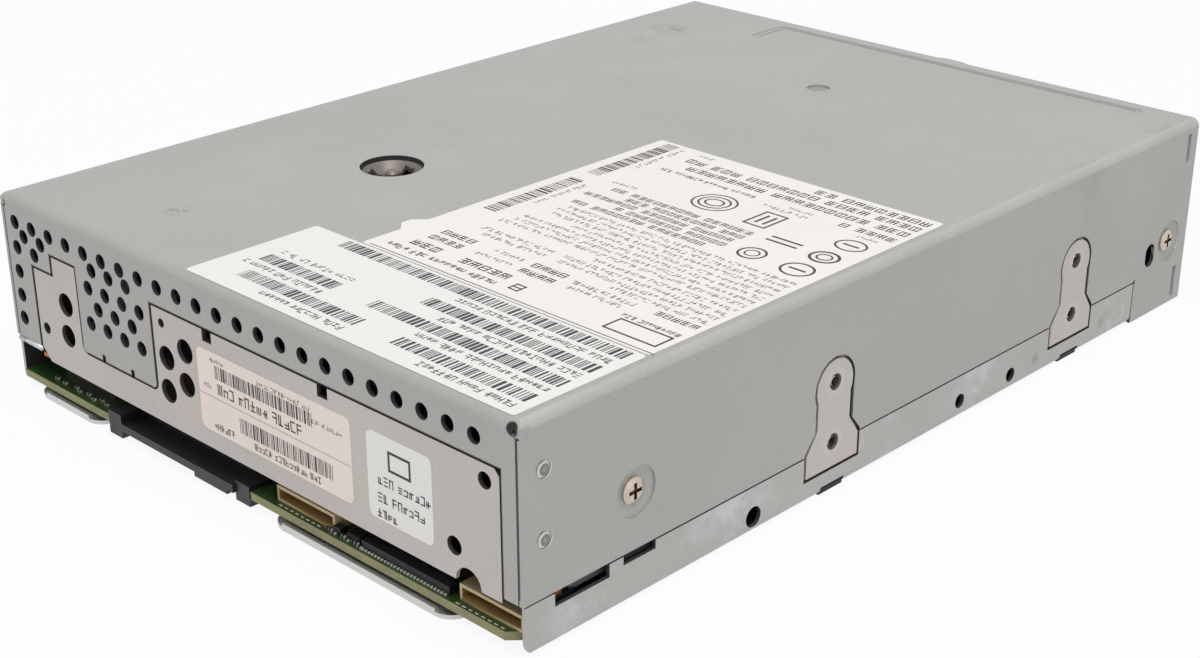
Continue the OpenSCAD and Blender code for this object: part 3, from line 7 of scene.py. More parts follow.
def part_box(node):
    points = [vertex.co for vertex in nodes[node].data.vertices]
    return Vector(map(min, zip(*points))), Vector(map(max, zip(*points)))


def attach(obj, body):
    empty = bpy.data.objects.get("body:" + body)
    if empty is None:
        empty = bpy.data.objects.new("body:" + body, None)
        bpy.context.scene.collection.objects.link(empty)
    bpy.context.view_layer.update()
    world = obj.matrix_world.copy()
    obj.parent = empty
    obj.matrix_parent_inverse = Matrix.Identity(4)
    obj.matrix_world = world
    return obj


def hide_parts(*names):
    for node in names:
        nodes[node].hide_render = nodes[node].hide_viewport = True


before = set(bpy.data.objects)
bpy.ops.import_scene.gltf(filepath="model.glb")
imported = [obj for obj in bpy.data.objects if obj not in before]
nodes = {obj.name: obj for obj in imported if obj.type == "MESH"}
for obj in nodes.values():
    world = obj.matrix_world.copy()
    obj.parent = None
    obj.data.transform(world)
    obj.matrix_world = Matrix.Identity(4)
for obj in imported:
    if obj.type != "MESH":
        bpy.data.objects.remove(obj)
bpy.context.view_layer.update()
MM = 0.001
X_AXIS, Z_AXIS = Vector((1, 0, 0)), Vector((0, 0, 1))

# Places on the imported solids, in millimetres
INNER_X, OUTER_X = 72.2, 73
PAN_FLOOR, INNER_TOP = 0.8, 40.5
INNER_REAR, OUTER_REAR = 100.2, 101
TAB_MIDS = (24.125, -55.125)
TAPPED = [(y, z) for y in TAB_MIDS for z in (10.0, 21.84)]


# ---------------------------------------------------------------- materials
def linear(code):
    """sRGB hex colour to linear RGBA."""
    out = []
    for i in (0, 2, 4):
        v = int(code[i : i + 2], 16) / 255
        out.append(v / 12.92 if v <= 0.04045 else ((v + 0.055) / 1.055) ** 2.4)
    return (*out, 1)


def feed(tree, made, inputs):
    """Give a node its inputs, by name or number: each is a value or another node's output."""
    for key, value in inputs.items():
        if isinstance(value, bpy.types.NodeSocket):
            tree.links.new(value, made.inputs[key])
        else:
            made.inputs[key].default_value = value
    return made


def add_node(tree, kind, inputs, operation=None):
    made = tree.nodes.new(kind)
    if operation:
        made.operation = operation
    return feed(tree, made, inputs)


def mixed(tree, mask, below, above, blend="MIX"):
    """The colour below with the one above laid over it, as far as the mask says."""
    made = tree.nodes.new("ShaderNodeMix")
    made.data_type = "RGBA"
    made.blend_type = blend
    return feed(tree, made, {"Factor": mask, "A": below, "B": above}).outputs["Result"]


# Scales and thresholds that all materials share; the bump distance is in metres
SPOT_SCALE, SPOT_RANGE = 220, (0.62, 0.74)
SCRATCH_SCALE, SCRATCH_RANGE, SCRATCH_LIGHT = 26, (0.68, 0.74), 1.35
SCRATCH_TURN, SCRATCH_PULL = (0.3, 0.5, 0.7), (1, 38, 24)
MARK_RANGE = (0.5, 0.62)
BUMP_DISTANCE, COAT_ROUGHNESS, IOR = 0.0001, 0.15, 1.5


def material(
    name,
    code,
    rough,
    metal,
    vary,
    cloud,
    grain,
    grain_vary,
    rough_vary,
    bump,
    spots=0.0,
    spot_code="505050",
    scratch=0.0,
    coat=0.0,
    marks=(),
):
    """Procedural surface in the frame's own metres: clouds, fine grain, changing roughness, bump, spots, scratches.

    Each mark is a place in millimetres or the two low and high corners of a box, the radius round it, the share of soft
    edge, colour, amount and noise size (0 for a plain mark).
    """
    m = bpy.data.materials.new(name)
    m.use_nodes = True
    tree = m.node_tree
    base = linear(code)
    here = tree.nodes.new("ShaderNodeTexCoord").outputs["Object"]

    def noise(size, detail=4.0, roughness=0.55):
        inputs = {"Vector": here, "Scale": size, "Detail": detail, "Roughness": roughness}
        return add_node(tree, "ShaderNodeTexNoise", inputs).outputs["Fac"]

    def ranged(value, low, high, start=0.3, end=0.7):
        inputs = {"Value": value, "From Min": start, "From Max": end, "To Min": low, "To Max": high}
        return add_node(tree, "ShaderNodeMapRange", inputs).outputs["Result"]

    def times(a, b):
        return add_node(tree, "ShaderNodeMath", {0: a, 1: b}, "MULTIPLY").outputs[0]

    clouds = ranged(noise(cloud), 1 - vary, 1 + vary)
    fine = ranged(noise(grain, 2.0), 1 - grain_vary, 1 + grain_vary)
    colour = mixed(tree, 1, base, times(clouds, fine), "MULTIPLY")
    if spots:
        mask = ranged(noise(SPOT_SCALE, 3.0, 0.6), 0, spots, *SPOT_RANGE)
        colour = mixed(tree, mask, colour, linear(spot_code))
    if scratch:
        inputs = {"Vector": here, "Rotation": SCRATCH_TURN, "Scale": SCRATCH_PULL}
        lines = add_node(tree, "ShaderNodeMapping", inputs).outputs["Vector"]
        inputs = {"Vector": lines, "Scale": SCRATCH_SCALE, "Detail": 8}
        waves = add_node(tree, "ShaderNodeTexNoise", inputs).outputs["Fac"]
        bright = tuple(min(1, c * SCRATCH_LIGHT) for c in base[:3]) + (1,)
        colour = mixed(tree, ranged(waves, 0, scratch, *SCRATCH_RANGE), colour, bright)
    for near, radius, soft_edge, mark_code, amount, size in marks:
        ends = near if isinstance(near[0], tuple) else (near, near)
        held = here
        for limit, end in zip(("MAXIMUM", "MINIMUM"), ends):
            inputs = {0: held, 1: tuple(v * MM for v in end)}
            held = add_node(tree, "ShaderNodeVectorMath", inputs, limit).outputs["Vector"]
        apart = add_node(tree, "ShaderNodeVectorMath", {0: here, 1: held}, "DISTANCE").outputs["Value"]
        mask = ranged(apart, amount, 0, radius * MM * (1 - soft_edge), radius * MM)
        if size:
            mask = times(mask, ranged(noise(size, 6.0, 0.7), 0, 1, *MARK_RANGE))
        colour = mixed(tree, mask, colour, linear(mark_code))
    inputs = {"Strength": bump, "Distance": BUMP_DISTANCE, "Height": noise(grain, 3.0)}
    bumped = add_node(tree, "ShaderNodeBump", inputs).outputs["Normal"]
    dull = ranged(noise(cloud * 2.3, 6.0), rough - rough_vary, rough + rough_vary)
    feed(tree, tree.nodes["Principled BSDF"], {
        "Base Color": colour, "Metallic": metal, "Roughness": dull, "IOR": IOR, "Coat Weight": coat,
        "Coat Roughness": COAT_ROUGHNESS, "Normal": bumped,
    })
    return m


# Marks: place or box in millimetres, radius, share of soft edge, colour, amount, noise size
SEAM_SHADE, GAP_SHADE, OPENING_SHADE, HOLE_SHADE = "2A2A28", "22221F", "2A2724", "0E0E0E"
# Spot-weld rings of the sides: a bright rim, a dark ring and a grey middle
RINGS = [((x, 96.0, z), r, 0.12, code, 0.8, 0) for x in (-OUTER_X, OUTER_X) for z in (31.9, 19.7)
         for r, code in ((1.62, "E2E2DE"), (1.1, "5C5D5A"), (0.45, "9C9C98"))]
# Dirt and rubbed places of the cover, and a painted shade in the dimple of the top
WEAR_AND_DIMPLE_SHADE = [
    ((38.4, 83.7, 41.4), 3.2, 0.6, "5E5E5C", 0.75, 900),
    ((57.2, -75.4, 41.4), 6.5, 0.8, "6E6E6A", 0.6, 200),
    ((57.4, -65.0, 41.4), 5.0, 0.9, "9A988F", 0.8, 120),
    ((-71.8, -88.0, 40.6), 12.0, 0.95, "8F8672", 0.32, 150),
    ((-72.2, -62.0, 40.6), 15.0, 0.95, "938C7C", 0.28, 120),
    ((-OUTER_X, 28.0, 17.6), 1.0, 0.7, "6C5A52", 0.8, 0),
    # Painted shade in the dimple of the top
    ((0.2, -62.0, 41.3), 2.6, 0.7, "80807C", 0.5, 0),
]
# Painted shade at the ends of the seam between the left side and its rail
SEAM_ENDS = [((-OUTER_X, y, z), 0.5, 0.35, SEAM_SHADE, 0.95, 0)
             for y, z in ((-80.3, 9.6), (-47.6, 9.3), (-48.8, 5.1), (31.7, 8.9))]
# Deep shade in the gaps below and beside the mounting tabs of the left side
TAB_GAPS = []
tab_points = [v.co / MM for v in nodes["mount_plate_left"].data.vertices if v.co.x < -72.9 * MM]
for mid in TAB_MIDS:
    near = [v for v in tab_points if abs(v.y - mid) < 15]
    foot = min(v.z for v in near)
    low, high = min(v.y for v in near), max(v.y for v in near)
    side = min(v.y for v in near if v.z > 14)
    knee = max(v.z for v in near if v.y < low + 0.1)
    for start, end, radius, amount in (
        ((low, foot - 0.1), (high, foot - 0.1), 0.55, 0.95),
        ((low - 0.1, foot), (low - 0.1, knee), 0.4, 0.9),
        ((side - 0.1, knee + 4), (side - 0.1, 22), 0.5, 0.9),
    ):
        TAB_GAPS.append((((-OUTER_X, *start), (-OUTER_X, *end)), radius, 0.3, GAP_SHADE, amount, 0))
# Painted shade along the seam of the rear left corner and in the relief hole at its upper end
CORNER = [
    (((-INNER_X, OUTER_REAR, 11), (-INNER_X, OUTER_REAR, 38.5)), 0.3, 0.3, SEAM_SHADE, 0.9, 0),
    ((-71.3, OUTER_REAR, 39.9), 1.35, 0.2, HOLE_SHADE, 1, 0),
]
# Painted shade along the long edges of the rear opening, where a dark gap shows
REAR_GAPS = []
cover_mesh = nodes["top_cover"].data
for p in cover_mesh.polygons:
    c = p.center / MM
    if not (100.25 < c.y < 100.95 and abs(p.normal.y) < 0.5 and 12 < c.z < 39 and abs(c.x) < 71.5):
        continue
    corners = [cover_mesh.vertices[i].co / MM for i in p.vertices]
    low = [min(v[i] for v in corners) for i in (0, 2)]
    high = [max(v[i] for v in corners) for i in (0, 2)]
    short, long = sorted((high[0] - low[0], high[1] - low[1]))
    gap = (((low[0], OUTER_REAR, low[1]), (high[0], OUTER_REAR, high[1])), 0.26, 0.3, OPENING_SHADE, 0.9, 0)
    if long > 3 and short < 0.1 and gap not in REAR_GAPS:
        REAR_GAPS.append(gap)
# Worn rings round the tapped holes of the side plates
HOLE_RINGS = [((x, y, z), r, 0.3, code, 0.3, 0) for x in (-OUTER_X, OUTER_X) for y, z in TAPPED
              for r, code in ((3.1, "E0DAD4"), (2.6, "BDB5AF"))]
# Lighter patches and brown dirt along the left rail
RAIL_PATCHES_AND_DIRT = [((-OUTER_X, y, z), *rest) for y, z, *rest in (
    (-42.7, 4.1, 1.5, 0.5, "9C8D82", 0.55, 0),
    (-67.6, 4.1, 1.5, 0.5, "9C8D82", 0.55, 0),
    (-74.0, 5.6, 6.5, 0.8, "E4E8EA", 0.65, 160),
    (-70.2, 5.1, 2.8, 0.9, "A08C7E", 0.45, 0),
    (-24.0, 5.5, 15.0, 0.9, "DDE0E0", 0.6, 70),
    (12.0, 5.5, 13.0, 0.9, "DDE0E0", 0.6, 70),
    (52.0, 5.5, 18.0, 0.9, "DADDDD", 0.6, 70),
    (88.0, 5.5, 10.0, 0.9, "DADDDD", 0.6, 70),
)]

# What the two tones of sheet metal share
ZINC = {
    "rough": 0.47, "metal": 0.3, "vary": 0.03, "cloud": 22, "grain": 2600, "grain_vary": 0.05, "rough_vary": 0.06,
    "bump": 0.10, "spots": 0.10, "spot_code": "989894", "scratch": 0.08,
}
WARM = {**ZINC, "rough": 0.46, "vary": 0.04, "cloud": 26, "spot_code": "A49D96"}

# Numbers in a row: roughness, metal, colour change, cloud and grain scale, grain change, roughness change, bump
M = {
    "zinc": material("zinc_sheet", "B0B0AD", **ZINC),
    "cover": material("zinc_cover_sheet", "B0B0AD", **ZINC,
                      marks=RINGS + WEAR_AND_DIMPLE_SHADE + SEAM_ENDS + TAB_GAPS + CORNER + REAR_GAPS),
    "pan": material("zinc_pan_sheet", "B7B7B4", **ZINC, marks=RAIL_PATCHES_AND_DIRT + SEAM_ENDS + TAB_GAPS),
    "plate": material("plate_sheet", "C6BFBA", **WARM, marks=HOLE_RINGS),
    "warm": material("warm_zinc_sheet", "C6BFBA", **WARM),
    # A lighter copy of the sheet for the bends: painted highlight
    "bend": material("bend_painted_highlight", "B8B8B5", 0.42, 0.3, 0.05, 60, 2600, 0.05, 0.06, 0.10),
    "lip": material("polished_lip", "CFCFCC", 0.28, 0.75, 0.05, 60, 2200, 0.05, 0.07, 0.08),
    # Dark grey for cut edges and hole walls: painted shade
    "rim": material("cut_edge_painted_shade", "4E4E4A", 0.6, 0.3, 0.1, 60, 1500, 0.1, 0.05, 0.1),
    "thread": material("tapped_thread", "D8CDBA", 0.25, 0.9, 0.1, 160, 2500, 0.08, 0.08, 0.1),
    "recess": material("screw_recess_shade", "5E4F40", 0.45, 0.6, 0.1, 160, 2500, 0.08, 0.08, 0.1),
    "hub": material("hub_plating", "7C746D", 0.42, 0.35, 0.06, 120, 2200, 0.05, 0.08, 0.06),
    # Pale tin of the solder pads, also used as painted light on the edges of the front slots
    "pad": material("tinned_pad_and_slot_light", "DEDFDA", 0.38, 0.25, 0.08, 400, 3000, 0.06, 0.08, 0.1),
    "inside": material("shaded_inside", "3A3A39", 0.6, 0.3, 0.08, 40, 1500, 0.08, 0.05, 0.08),
    "steel": material("turned_steel", "C4C4C6", 0.28, 0.95, 0.04, 60, 1800, 0.03, 0.07, 0.05, scratch=0.2),
    "screw": material("screw_plating", "CDBFB2", 0.33, 0.9, 0.08, 160, 2500, 0.05, 0.08, 0.08, spots=0.25,
                      spot_code="6E675C", scratch=0.2),
    "cast": material("cast_alloy", "909294", 0.55, 0.6, 0.08, 45, 1100, 0.09, 0.09, 0.35),
    "paper": material("label_paper", "F4F3F0", 0.42, 0.0, 0.012, 30, 900, 0.01, 0.05, 0.03, coat=0.15),
    "paper_rear": material("label_paper_rear", "F8EAE2", 0.42, 0.0, 0.015, 30, 900, 0.012, 0.05, 0.03, coat=0.12),
    "paper_cream": material("label_paper_cream", "F9F5F0", 0.42, 0.0, 0.015, 30, 900, 0.012, 0.05, 0.03, coat=0.12),
    "black": material("black_resin", "1B1B1C", 0.42, 0.0, 0.10, 60, 1700, 0.10, 0.08, 0.12, scratch=0.15),
    "cream": material("cream_resin", "C9B78B", 0.46, 0.0, 0.05, 60, 1400, 0.03, 0.06, 0.06),
    "cavity": material("cream_resin_shaded", "9A7A4E", 0.46, 0.0, 0.08, 60, 1400, 0.05, 0.06, 0.06),
    "white": material("white_resin", "DEDEDA", 0.40, 0.0, 0.02, 40, 1400, 0.02, 0.06, 0.05),
    "blue": material("blue_resin", "2E5C96", 0.38, 0.0, 0.05, 40, 1400, 0.03, 0.06, 0.05),
    "window": material("display_window", "421012", 0.14, 0.0, 0.05, 40, 900, 0.02, 0.03, 0.01, coat=0.4),
    # The board's own green, darkened further as painted shade for the board that lies under the rear panel
    "board": material("solder_mask_and_shade", "2F4A22", 0.35, 0.0, 0.16, 90, 1500, 0.12, 0.07, 0.16, coat=0.3, spots=0.4,
                      spot_code="5C7A34"),
    "edge": material("laminate_edge", "918F68", 0.62, 0.0, 0.16, 120, 2400, 0.16, 0.08, 0.3),
    "chip": material("chip_resin", "131314", 0.5, 0.0, 0.08, 60, 2000, 0.10, 0.07, 0.14),
    "brass": material("turned_brass", "BFA05C", 0.30, 0.95, 0.05, 60, 1800, 0.03, 0.06, 0.05, scratch=0.15),
    "copper": material("copper_foil", "B8743C", 0.38, 0.9, 0.12, 200, 2500, 0.08, 0.08, 0.1),
    "ink": material("print_ink", "2A2A2C", 0.5, 0.0, 0.15, 700, 3500, 0.25, 0.06, 0.02),
    "ink_soft": material("print_ink_fine", "55565A", 0.5, 0.0, 0.2, 900, 3500, 0.3, 0.06, 0.02),
    "line": material("label_cut", "B9B6B0", 0.5, 0.0, 0.05, 80, 900, 0.03, 0.05, 0.02),
    "dark": material("painted_shade_dark", "141414", 0.6, 0.0, 0.1, 60, 900, 0.1, 0.05, 0.1),
}

FINISH = {
    "top_cover": "cover", "bottom_pan": "pan", "rear_panel": "warm", "mount_plate_left": "plate",
    "mount_plate_right": "plate", "cover_screws": "screw", "bottom_screws": "screw", "cover_label_rear": "paper",
    "cover_label_front": "paper_cream", "panel_label_wide": "paper_rear", "panel_label_narrow": "paper",
    "front_frame": "black", "eject_button": "blue", "display_window": "window", "operator_card": "board",
    "main_board": "board", "board_chips": "chip", "interface_connector": "black", "service_connector": "cream",
    "power_connector": "cream", "board_standoffs": "steel", "deck": "cast", "hub_cup": "hub",
    "take_up_motor": "steel", "take_up_reel": "black", "supply_motor": "steel", "supply_clutch": "brass",
    "guide_roller_1": "steel", "guide_roller_2": "steel", "guide_roller_3": "steel", "guide_roller_4": "steel",
    "roller_pins": "steel", "head_block": "cast", "head_carriage": "black", "head_guide_posts": "steel",
    "head_stepper": "steel", "head_lead_screw": "steel", "threader_post": "steel", "threader_arm": "zinc",
    "leader_block": "white", "threader_motor": "steel", "threader_pinion": "brass", "loader_guide_left": "warm",
    "loader_guide_right": "warm", "loader_slider": "zinc", "cartridge_tray": "warm", "loader_bracket": "warm",
    "loader_motor": "steel", "loader_pinion": "brass",
}
for name, kind in FINISH.items():
    mesh = nodes[name].data
    mesh.materials.clear()
    mesh.materials.append(M[kind])


def recolour_faces(name, picks, kind="inside"):
    """Give a second material to the faces of a node that picks(centre in millimetres, normal) chooses."""
    mesh = nodes[name].data
    mesh.materials.append(M[kind])
    for p in mesh.polygons:
        if picks(p.center / MM, p.normal):
            p.material_index = len(mesh.materials) - 1


# The places of the side screws, each the middle of its own points
SCREW_REACH = 6
SIDE_SCREWS = []
screw_points = [v.co / MM for v in nodes["cover_screws"].data.vertices]
for point in screw_points:
    if not any(math.hypot(point.y - y, point.z - z) < SCREW_REACH for y, z in SIDE_SCREWS):
        near = [v for v in screw_points if math.hypot(v.y - point.y, v.z - point.z) < SCREW_REACH]
        SIDE_SCREWS.append(tuple((min(v[i] for v in near) + max(v[i] for v in near)) / 2 for i in (1, 2)))
hub_low, hub_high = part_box("hub_cup")
hub_mid = (hub_low + hub_high) / 2 / MM
# A cut edge lies between the two skins of its sheet, this far from both
SKIN = 0.05


def near_hole(c, holes, reach):
    return any(math.hypot(c.y - y, c.z - z) < reach for y, z in holes)


def in_side_wall(c, n):
    return INNER_X + SKIN < abs(c.x) < OUTER_X - SKIN and abs(n.x) < 0.5


def side_edge(c, n):
    """Cut edges of the sides, but not the dishes of their screws."""
    return in_side_wall(c, n) and 0.9 < c.z < 39 and abs(c.y) < 97 and not near_hole(c, SIDE_SCREWS, SCREW_REACH)


def side_bend(c, n):
    """The bend between the top and a side, painted lighter as a highlight."""
    return abs(c.x) > 69 and c.z > 37 and 0.12 < n.z < 0.985 and abs(n.x) > 0.15 and abs(n.y) < 0.3


def front_slot(c, n):
    """Cut edges of the two narrow slots at the front of each side."""
    return in_side_wall(c, n) and -100.8 < c.y < -97 and 2 < c.z < 38


def rear_edge(c, n):
    """Cut edges of the rear opening and the vent holes."""
    in_rear_wall = INNER_REAR + SKIN < c.y < OUTER_REAR - SKIN and abs(n.y) < 0.5
    return in_rear_wall and 12 < c.z < 39.8 and abs(c.x) < 71.5


def panel_edge(c, n):
    """Cut edges of the rear panel."""
    return abs(n.y) < 0.5 and 11.5 < c.z < 38 and c.y > 98 and abs(c.x) < 71


def tapped(c, n):
    """Walls of the tapped holes."""
    return abs(n.x) < 0.95 and near_hole(c, TAPPED, 1.7)


def screw_cross(c, n):
    """The cross recesses of the side screws."""
    return 72.1 < abs(c.x) < 72.86 and near_hole(c, SIDE_SCREWS, 1.7)


def wall_inside(c, n):
    """Inner skins of both sides."""
    return abs(abs(c.x) - INNER_X) < 0.15 and n.x * c.x < 0 and abs(n.x) > 0.9


def cover_inside(c, n):
    """Inner skins of the cover, and the wall of the hole over the hub."""
    hub_hole = abs(n.z) < 0.5 and c.z > INNER_TOP and math.hypot(c.x - hub_mid.x, c.y - hub_mid.y) < 7
    under_top = n.z < -0.9 and abs(c.z - INNER_TOP) < 0.2
    behind_rear = n.y < -0.9 and abs(c.y - INNER_REAR) < 0.2
    return wall_inside(c, n) or hub_hole or under_top or behind_rear


# The inner faces of the shell lie in deep shade and get a dark painted shade; its cut edges at holes, slots and gaps
# get a dark grey painted shade
recolour_faces("top_cover", cover_inside)
recolour_faces("rear_panel", lambda c, n: n.y < -0.9)
recolour_faces("bottom_pan", lambda c, n: wall_inside(c, n) or (n.z > 0.9 and abs(c.z - PAN_FLOOR) < 0.1 and c.y < 90))
recolour_faces("top_cover", lambda c, n: side_edge(c, n) or rear_edge(c, n), "rim")
# The bends between top and sides get a painted highlight
recolour_faces("top_cover", side_bend, "bend")
# The cut edges of the front slots take the pale pad colour: painted light where the white background shows through
recolour_faces("top_cover", front_slot, "pad")
recolour_faces("bottom_pan", side_edge, "rim")
recolour_faces("bottom_pan", lambda c, n: c.y > 99 and c.z < 3 and abs(c.x) < 71, "lip")
recolour_faces("rear_panel", panel_edge, "rim")
# The walls of the tapped holes get the dark grey painted shade
for name in ("mount_plate_left", "mount_plate_right"):
    recolour_faces(name, tapped, "rim")
# Painted shade in the cross recesses of the side screws
recolour_faces("cover_screws", screw_cross, "recess")
# The insides of the two pale connectors get a painted shade, darker than their rims
CONNECTOR_RIM = 0.4
for name in ("service_connector", "power_connector"):
    low, high = (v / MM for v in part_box(name))
    low, high = [v + CONNECTOR_RIM for v in low], [v - CONNECTOR_RIM for v in high]
    recolour_faces(name, lambda c, n: all(low[i] < c[i] < high[i] for i in (0, 2)), "cavity")
# The board's cut edges show the bare laminate
recolour_faces("main_board", lambda c, n: abs(n.z) < 0.5, "edge")


# ---------------------------------------------------------------- small pieces
def finish_mesh(name, verts, faces, finish, body="chassis", slot=None):
    mesh = bpy.data.meshes.new(name)
    mesh.from_pydata(verts, [], faces)
    mesh.update()
    mesh.materials.append(M[finish])
    o = bpy.data.objects.new(name, mesh)
    bpy.context.scene.collection.objects.link(o)
    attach(o, body)
    return o


def flat_quads(name, quads, place, finish, slot=None):
    """Thin printed marks: quads in label millimetres, put in the frame by place(u, v)."""
    verts, faces = [], []
    for q in quads:
        k = len(verts)
        verts += [place(u, v) for u, v in q]
        faces.append((k, k + 1, k + 2, k + 3))
    return finish_mesh(name, verts, faces, finish, slot=slot)


def rect(u0, v0, u1, v1):
    return [(u0, v0), (u1, v0), (u1, v1), (u0, v1)]


def boxes(name, items, finish, body="chassis", slot=None):
    """Many small blocks in millimetres in one piece."""
    verts, faces = [], []
    for x0, y0, z0, x1, y1, z1 in items:
        k = len(verts)
        for z in (z0, z1):
            verts += [(x * MM, y * MM, z * MM) for x, y in rect(x0, y0, x1, y1)]
        faces += [(k, k + 3, k + 2, k + 1), (k + 4, k + 5, k + 6, k + 7)]
        for i in range(4):
            j = (i + 1) % 4
            faces.append((k + i, k + j, k + 4 + j, k + 4 + i))
    return finish_mesh(name, verts, faces, finish, body, slot)


# ---------------------------------------------------------------- greeked print
dice = random.Random(7)


def glyph(u, v, w, h, strokes, stroke):
    """A made-up sign that stands for a character: a few strokes in its cell."""
    out = []
    choices = [
        rect(u, v, u + stroke, v + h), rect(u + w - stroke, v, u + w, v + h), rect(u, v, u + w, v + stroke),
        rect(u, v + h - stroke, u + w, v + h), rect(u, v + (h - stroke) / 2, u + w, v + (h + stroke) / 2),
        rect(u + (w - stroke) / 2, v, u + (w + stroke) / 2, v + h),
    ]
    for i in dice.sample(range(len(choices)), strokes):
        out.append(choices[i])
    return out


# A sign's width and stroke by its height, the share and height of low signs, and the space after a word
NARROW, WIDE, MANY_STROKES, STROKE = 0.62, 0.95, 4, 0.15
LOW_SHARE, LOW_HEIGHT, WORD_SPACE = 0.5, 0.72, 0.8


def words(u0, u1, v, h, dense=2, gap=0.26, stroke=None, word=(3, 9)):
    """A line of made-up signs in word groups from u0 to u1."""
    w = h * (NARROW if dense < MANY_STROKES else WIDE)
    s = stroke or h * STROKE
    out, u = [], u0
    while u < u1 - w:
        for _ in range(dice.randint(*word)):
            if u > u1 - w:
                break
            low = dice.random() < LOW_SHARE and dense < MANY_STROKES
            out += glyph(u, v, w, h * (LOW_HEIGHT if low else 1), dense, s)
            u += w * (1 + gap)
        u += w * WORD_SPACE
    return out


def barcode(u0, u1, v0, v1, unit=0.25):
    """A plain bar pattern from u0 to u1."""
    out, u = [], u0
    while u < u1:
        w = unit * dice.choice((1, 1, 1, 2, 3))
        out.append(rect(u, v0, min(u + w, u1), v1))
        u += w + unit * dice.choice((1, 1, 2, 2))
    return out


def ladder(u0, u1, v0, v1, unit=0.22):
    """A bar code that runs up the label."""
    return [[(b, a) for a, b in q] for q in barcode(v0, v1, u0, u1, unit)]


def ring(u, v, ru, rv, t, steps=28):
    """A plain round mark whose line is t wide."""
    out = []
    for i in range(steps):
        a, b = 2 * math.pi * i / steps, 2 * math.pi * (i + 1) / steps
        corners = ((a, 0), (b, 0), (b, t), (a, t))
        out.append([(u + (ru - k) * math.cos(w), v + (rv - k) * math.sin(w)) for w, k in corners])
    return out


def outline(u0, v0, u1, v1, t):
    """A plain box whose line is t wide."""
    return [rect(u0, v0, u1, v0 + t), rect(u0, v1 - t, u1, v1),
            rect(u0, v0 + t, u0 + t, v1 - t), rect(u1 - t, v0 + t, u1, v1 - t)]


LABEL_CORNER = 0.8
# The front label's ear: its middle from the label's rear edge, and its half widths at root and tip
EAR_MIDDLE, EAR_ROOT, EAR_TIP = 12.6, 3.4, 1.13


def label_sheet(name, node, finish, drop, ear=0):
    """The label's paper with round corners, a hair thinner than its solid so that the print lies within it."""
    lo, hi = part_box(node)
    edge = hi.x - ear * MM
    sheet = corner_ring(lo.x, lo.y, edge, hi.y, LABEL_CORNER * MM)
    if ear:
        mid = (hi.y / MM - EAR_MIDDLE) * MM
        tip = [(hi.x, mid - EAR_TIP * MM), (hi.x, mid + EAR_TIP * MM)]
        sheet = [(edge, mid - EAR_ROOT * MM), *tip, (edge, mid + EAR_ROOT * MM)] + sheet
    o = finish_mesh(name, *slab(sheet, lo.z, hi.z - drop * MM), finish, slot="label_paper")
    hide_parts(node)


def corner_ring(x0, y0, x1, y1, r, steps=6):
    """Round-cornered outline, counter-clockwise, that starts at its upper right corner."""
    points = []
    for cx, cy, a0 in ((x1 - r, y1 - r, 0), (x0 + r, y1 - r, 90), (x0 + r, y0 + r, 180), (x1 - r, y0 + r, 270)):
        for i in range(steps + 1):
            a = math.radians(a0 + 90 * i / steps)
            points.append((cx + r * math.cos(a), cy + r * math.sin(a)))
    return points


def slab(points, z0, z1):
    """A flat plate with this outline between two heights."""
    k = len(points)
    verts = [(x, y, z0) for x, y in points] + [(x, y, z1) for x, y in points]
    faces = [tuple(range(k - 1, -1, -1)), tuple(range(k, 2 * k))]
    faces += [(i, (i + 1) % k, k + (i + 1) % k, k + i) for i in range(k)]
    return verts, faces


# All print below is in millimetres of the frame, read off the photograph
PRINT_Z = 41.415 * MM
PAPER_DROP, EAR_LENGTH = 0.02, 2.4
label_sheet("label_rear_paper", "cover_label_rear", "paper", PAPER_DROP)
label_sheet("label_front_paper", "cover_label_front", "paper_cream", PAPER_DROP, EAR_LENGTH)


def on_top(u, v):
    return (u * MM, v * MM, PRINT_Z)


# Rear label: four lines of signs on the left and two on the right, each over a bar pattern, and a last short line
BIG_GAP, BIG_STROKE = 0.3, 0.22
FIRST_LINE, LINE_STEP = 96.6, 7.05
big, bars = [], []
for k, (end_text, end_bar) in enumerate(((-45.5, -36.7), (-37.5, -22.5), (-35, -28.2), (-30, 2.5))):
    v = FIRST_LINE - LINE_STEP * k
    big += words(-68, end_text, v - 0.1, 1.6, 3, BIG_GAP, BIG_STROKE, (3, 8))
    bars += barcode(-68.2, end_bar, v - 4.3, v - 1.2)
big += words(-27, -4.2, 96.3, 1.6, 3, BIG_GAP, BIG_STROKE, (3, 6))
bars += barcode(-27.2, 4.2, 92.0, 95.1)
big += words(-12.5, 10, 89.2, 1.6, 3, BIG_GAP, BIG_STROKE, (3, 7))
bars += barcode(-12.6, 7.8, 84.9, 88.0)
big += words(-12.6, 7.4, 82.2, 1.5, 2, BIG_GAP, BIG_STROKE, (2, 5))
flat_quads("label_rear_print", big, on_top, "ink", "label_paper")
flat_quads("label_rear_bars", bars, on_top, "ink", "label_paper")

# Front label: lines of fine print, a grid of plain marks, and two bar patterns up its right side
FINE_GAP = 0.28
fine, heavy, bars = [], [], []


def row(v, spans, h=1.2, dense=2, into=fine):
    """Signs at one height v in each span, into the fine or the heavy print."""
    for u0, u1 in spans:
        into.extend(words(u0, u1, v, h, dense, FINE_GAP))


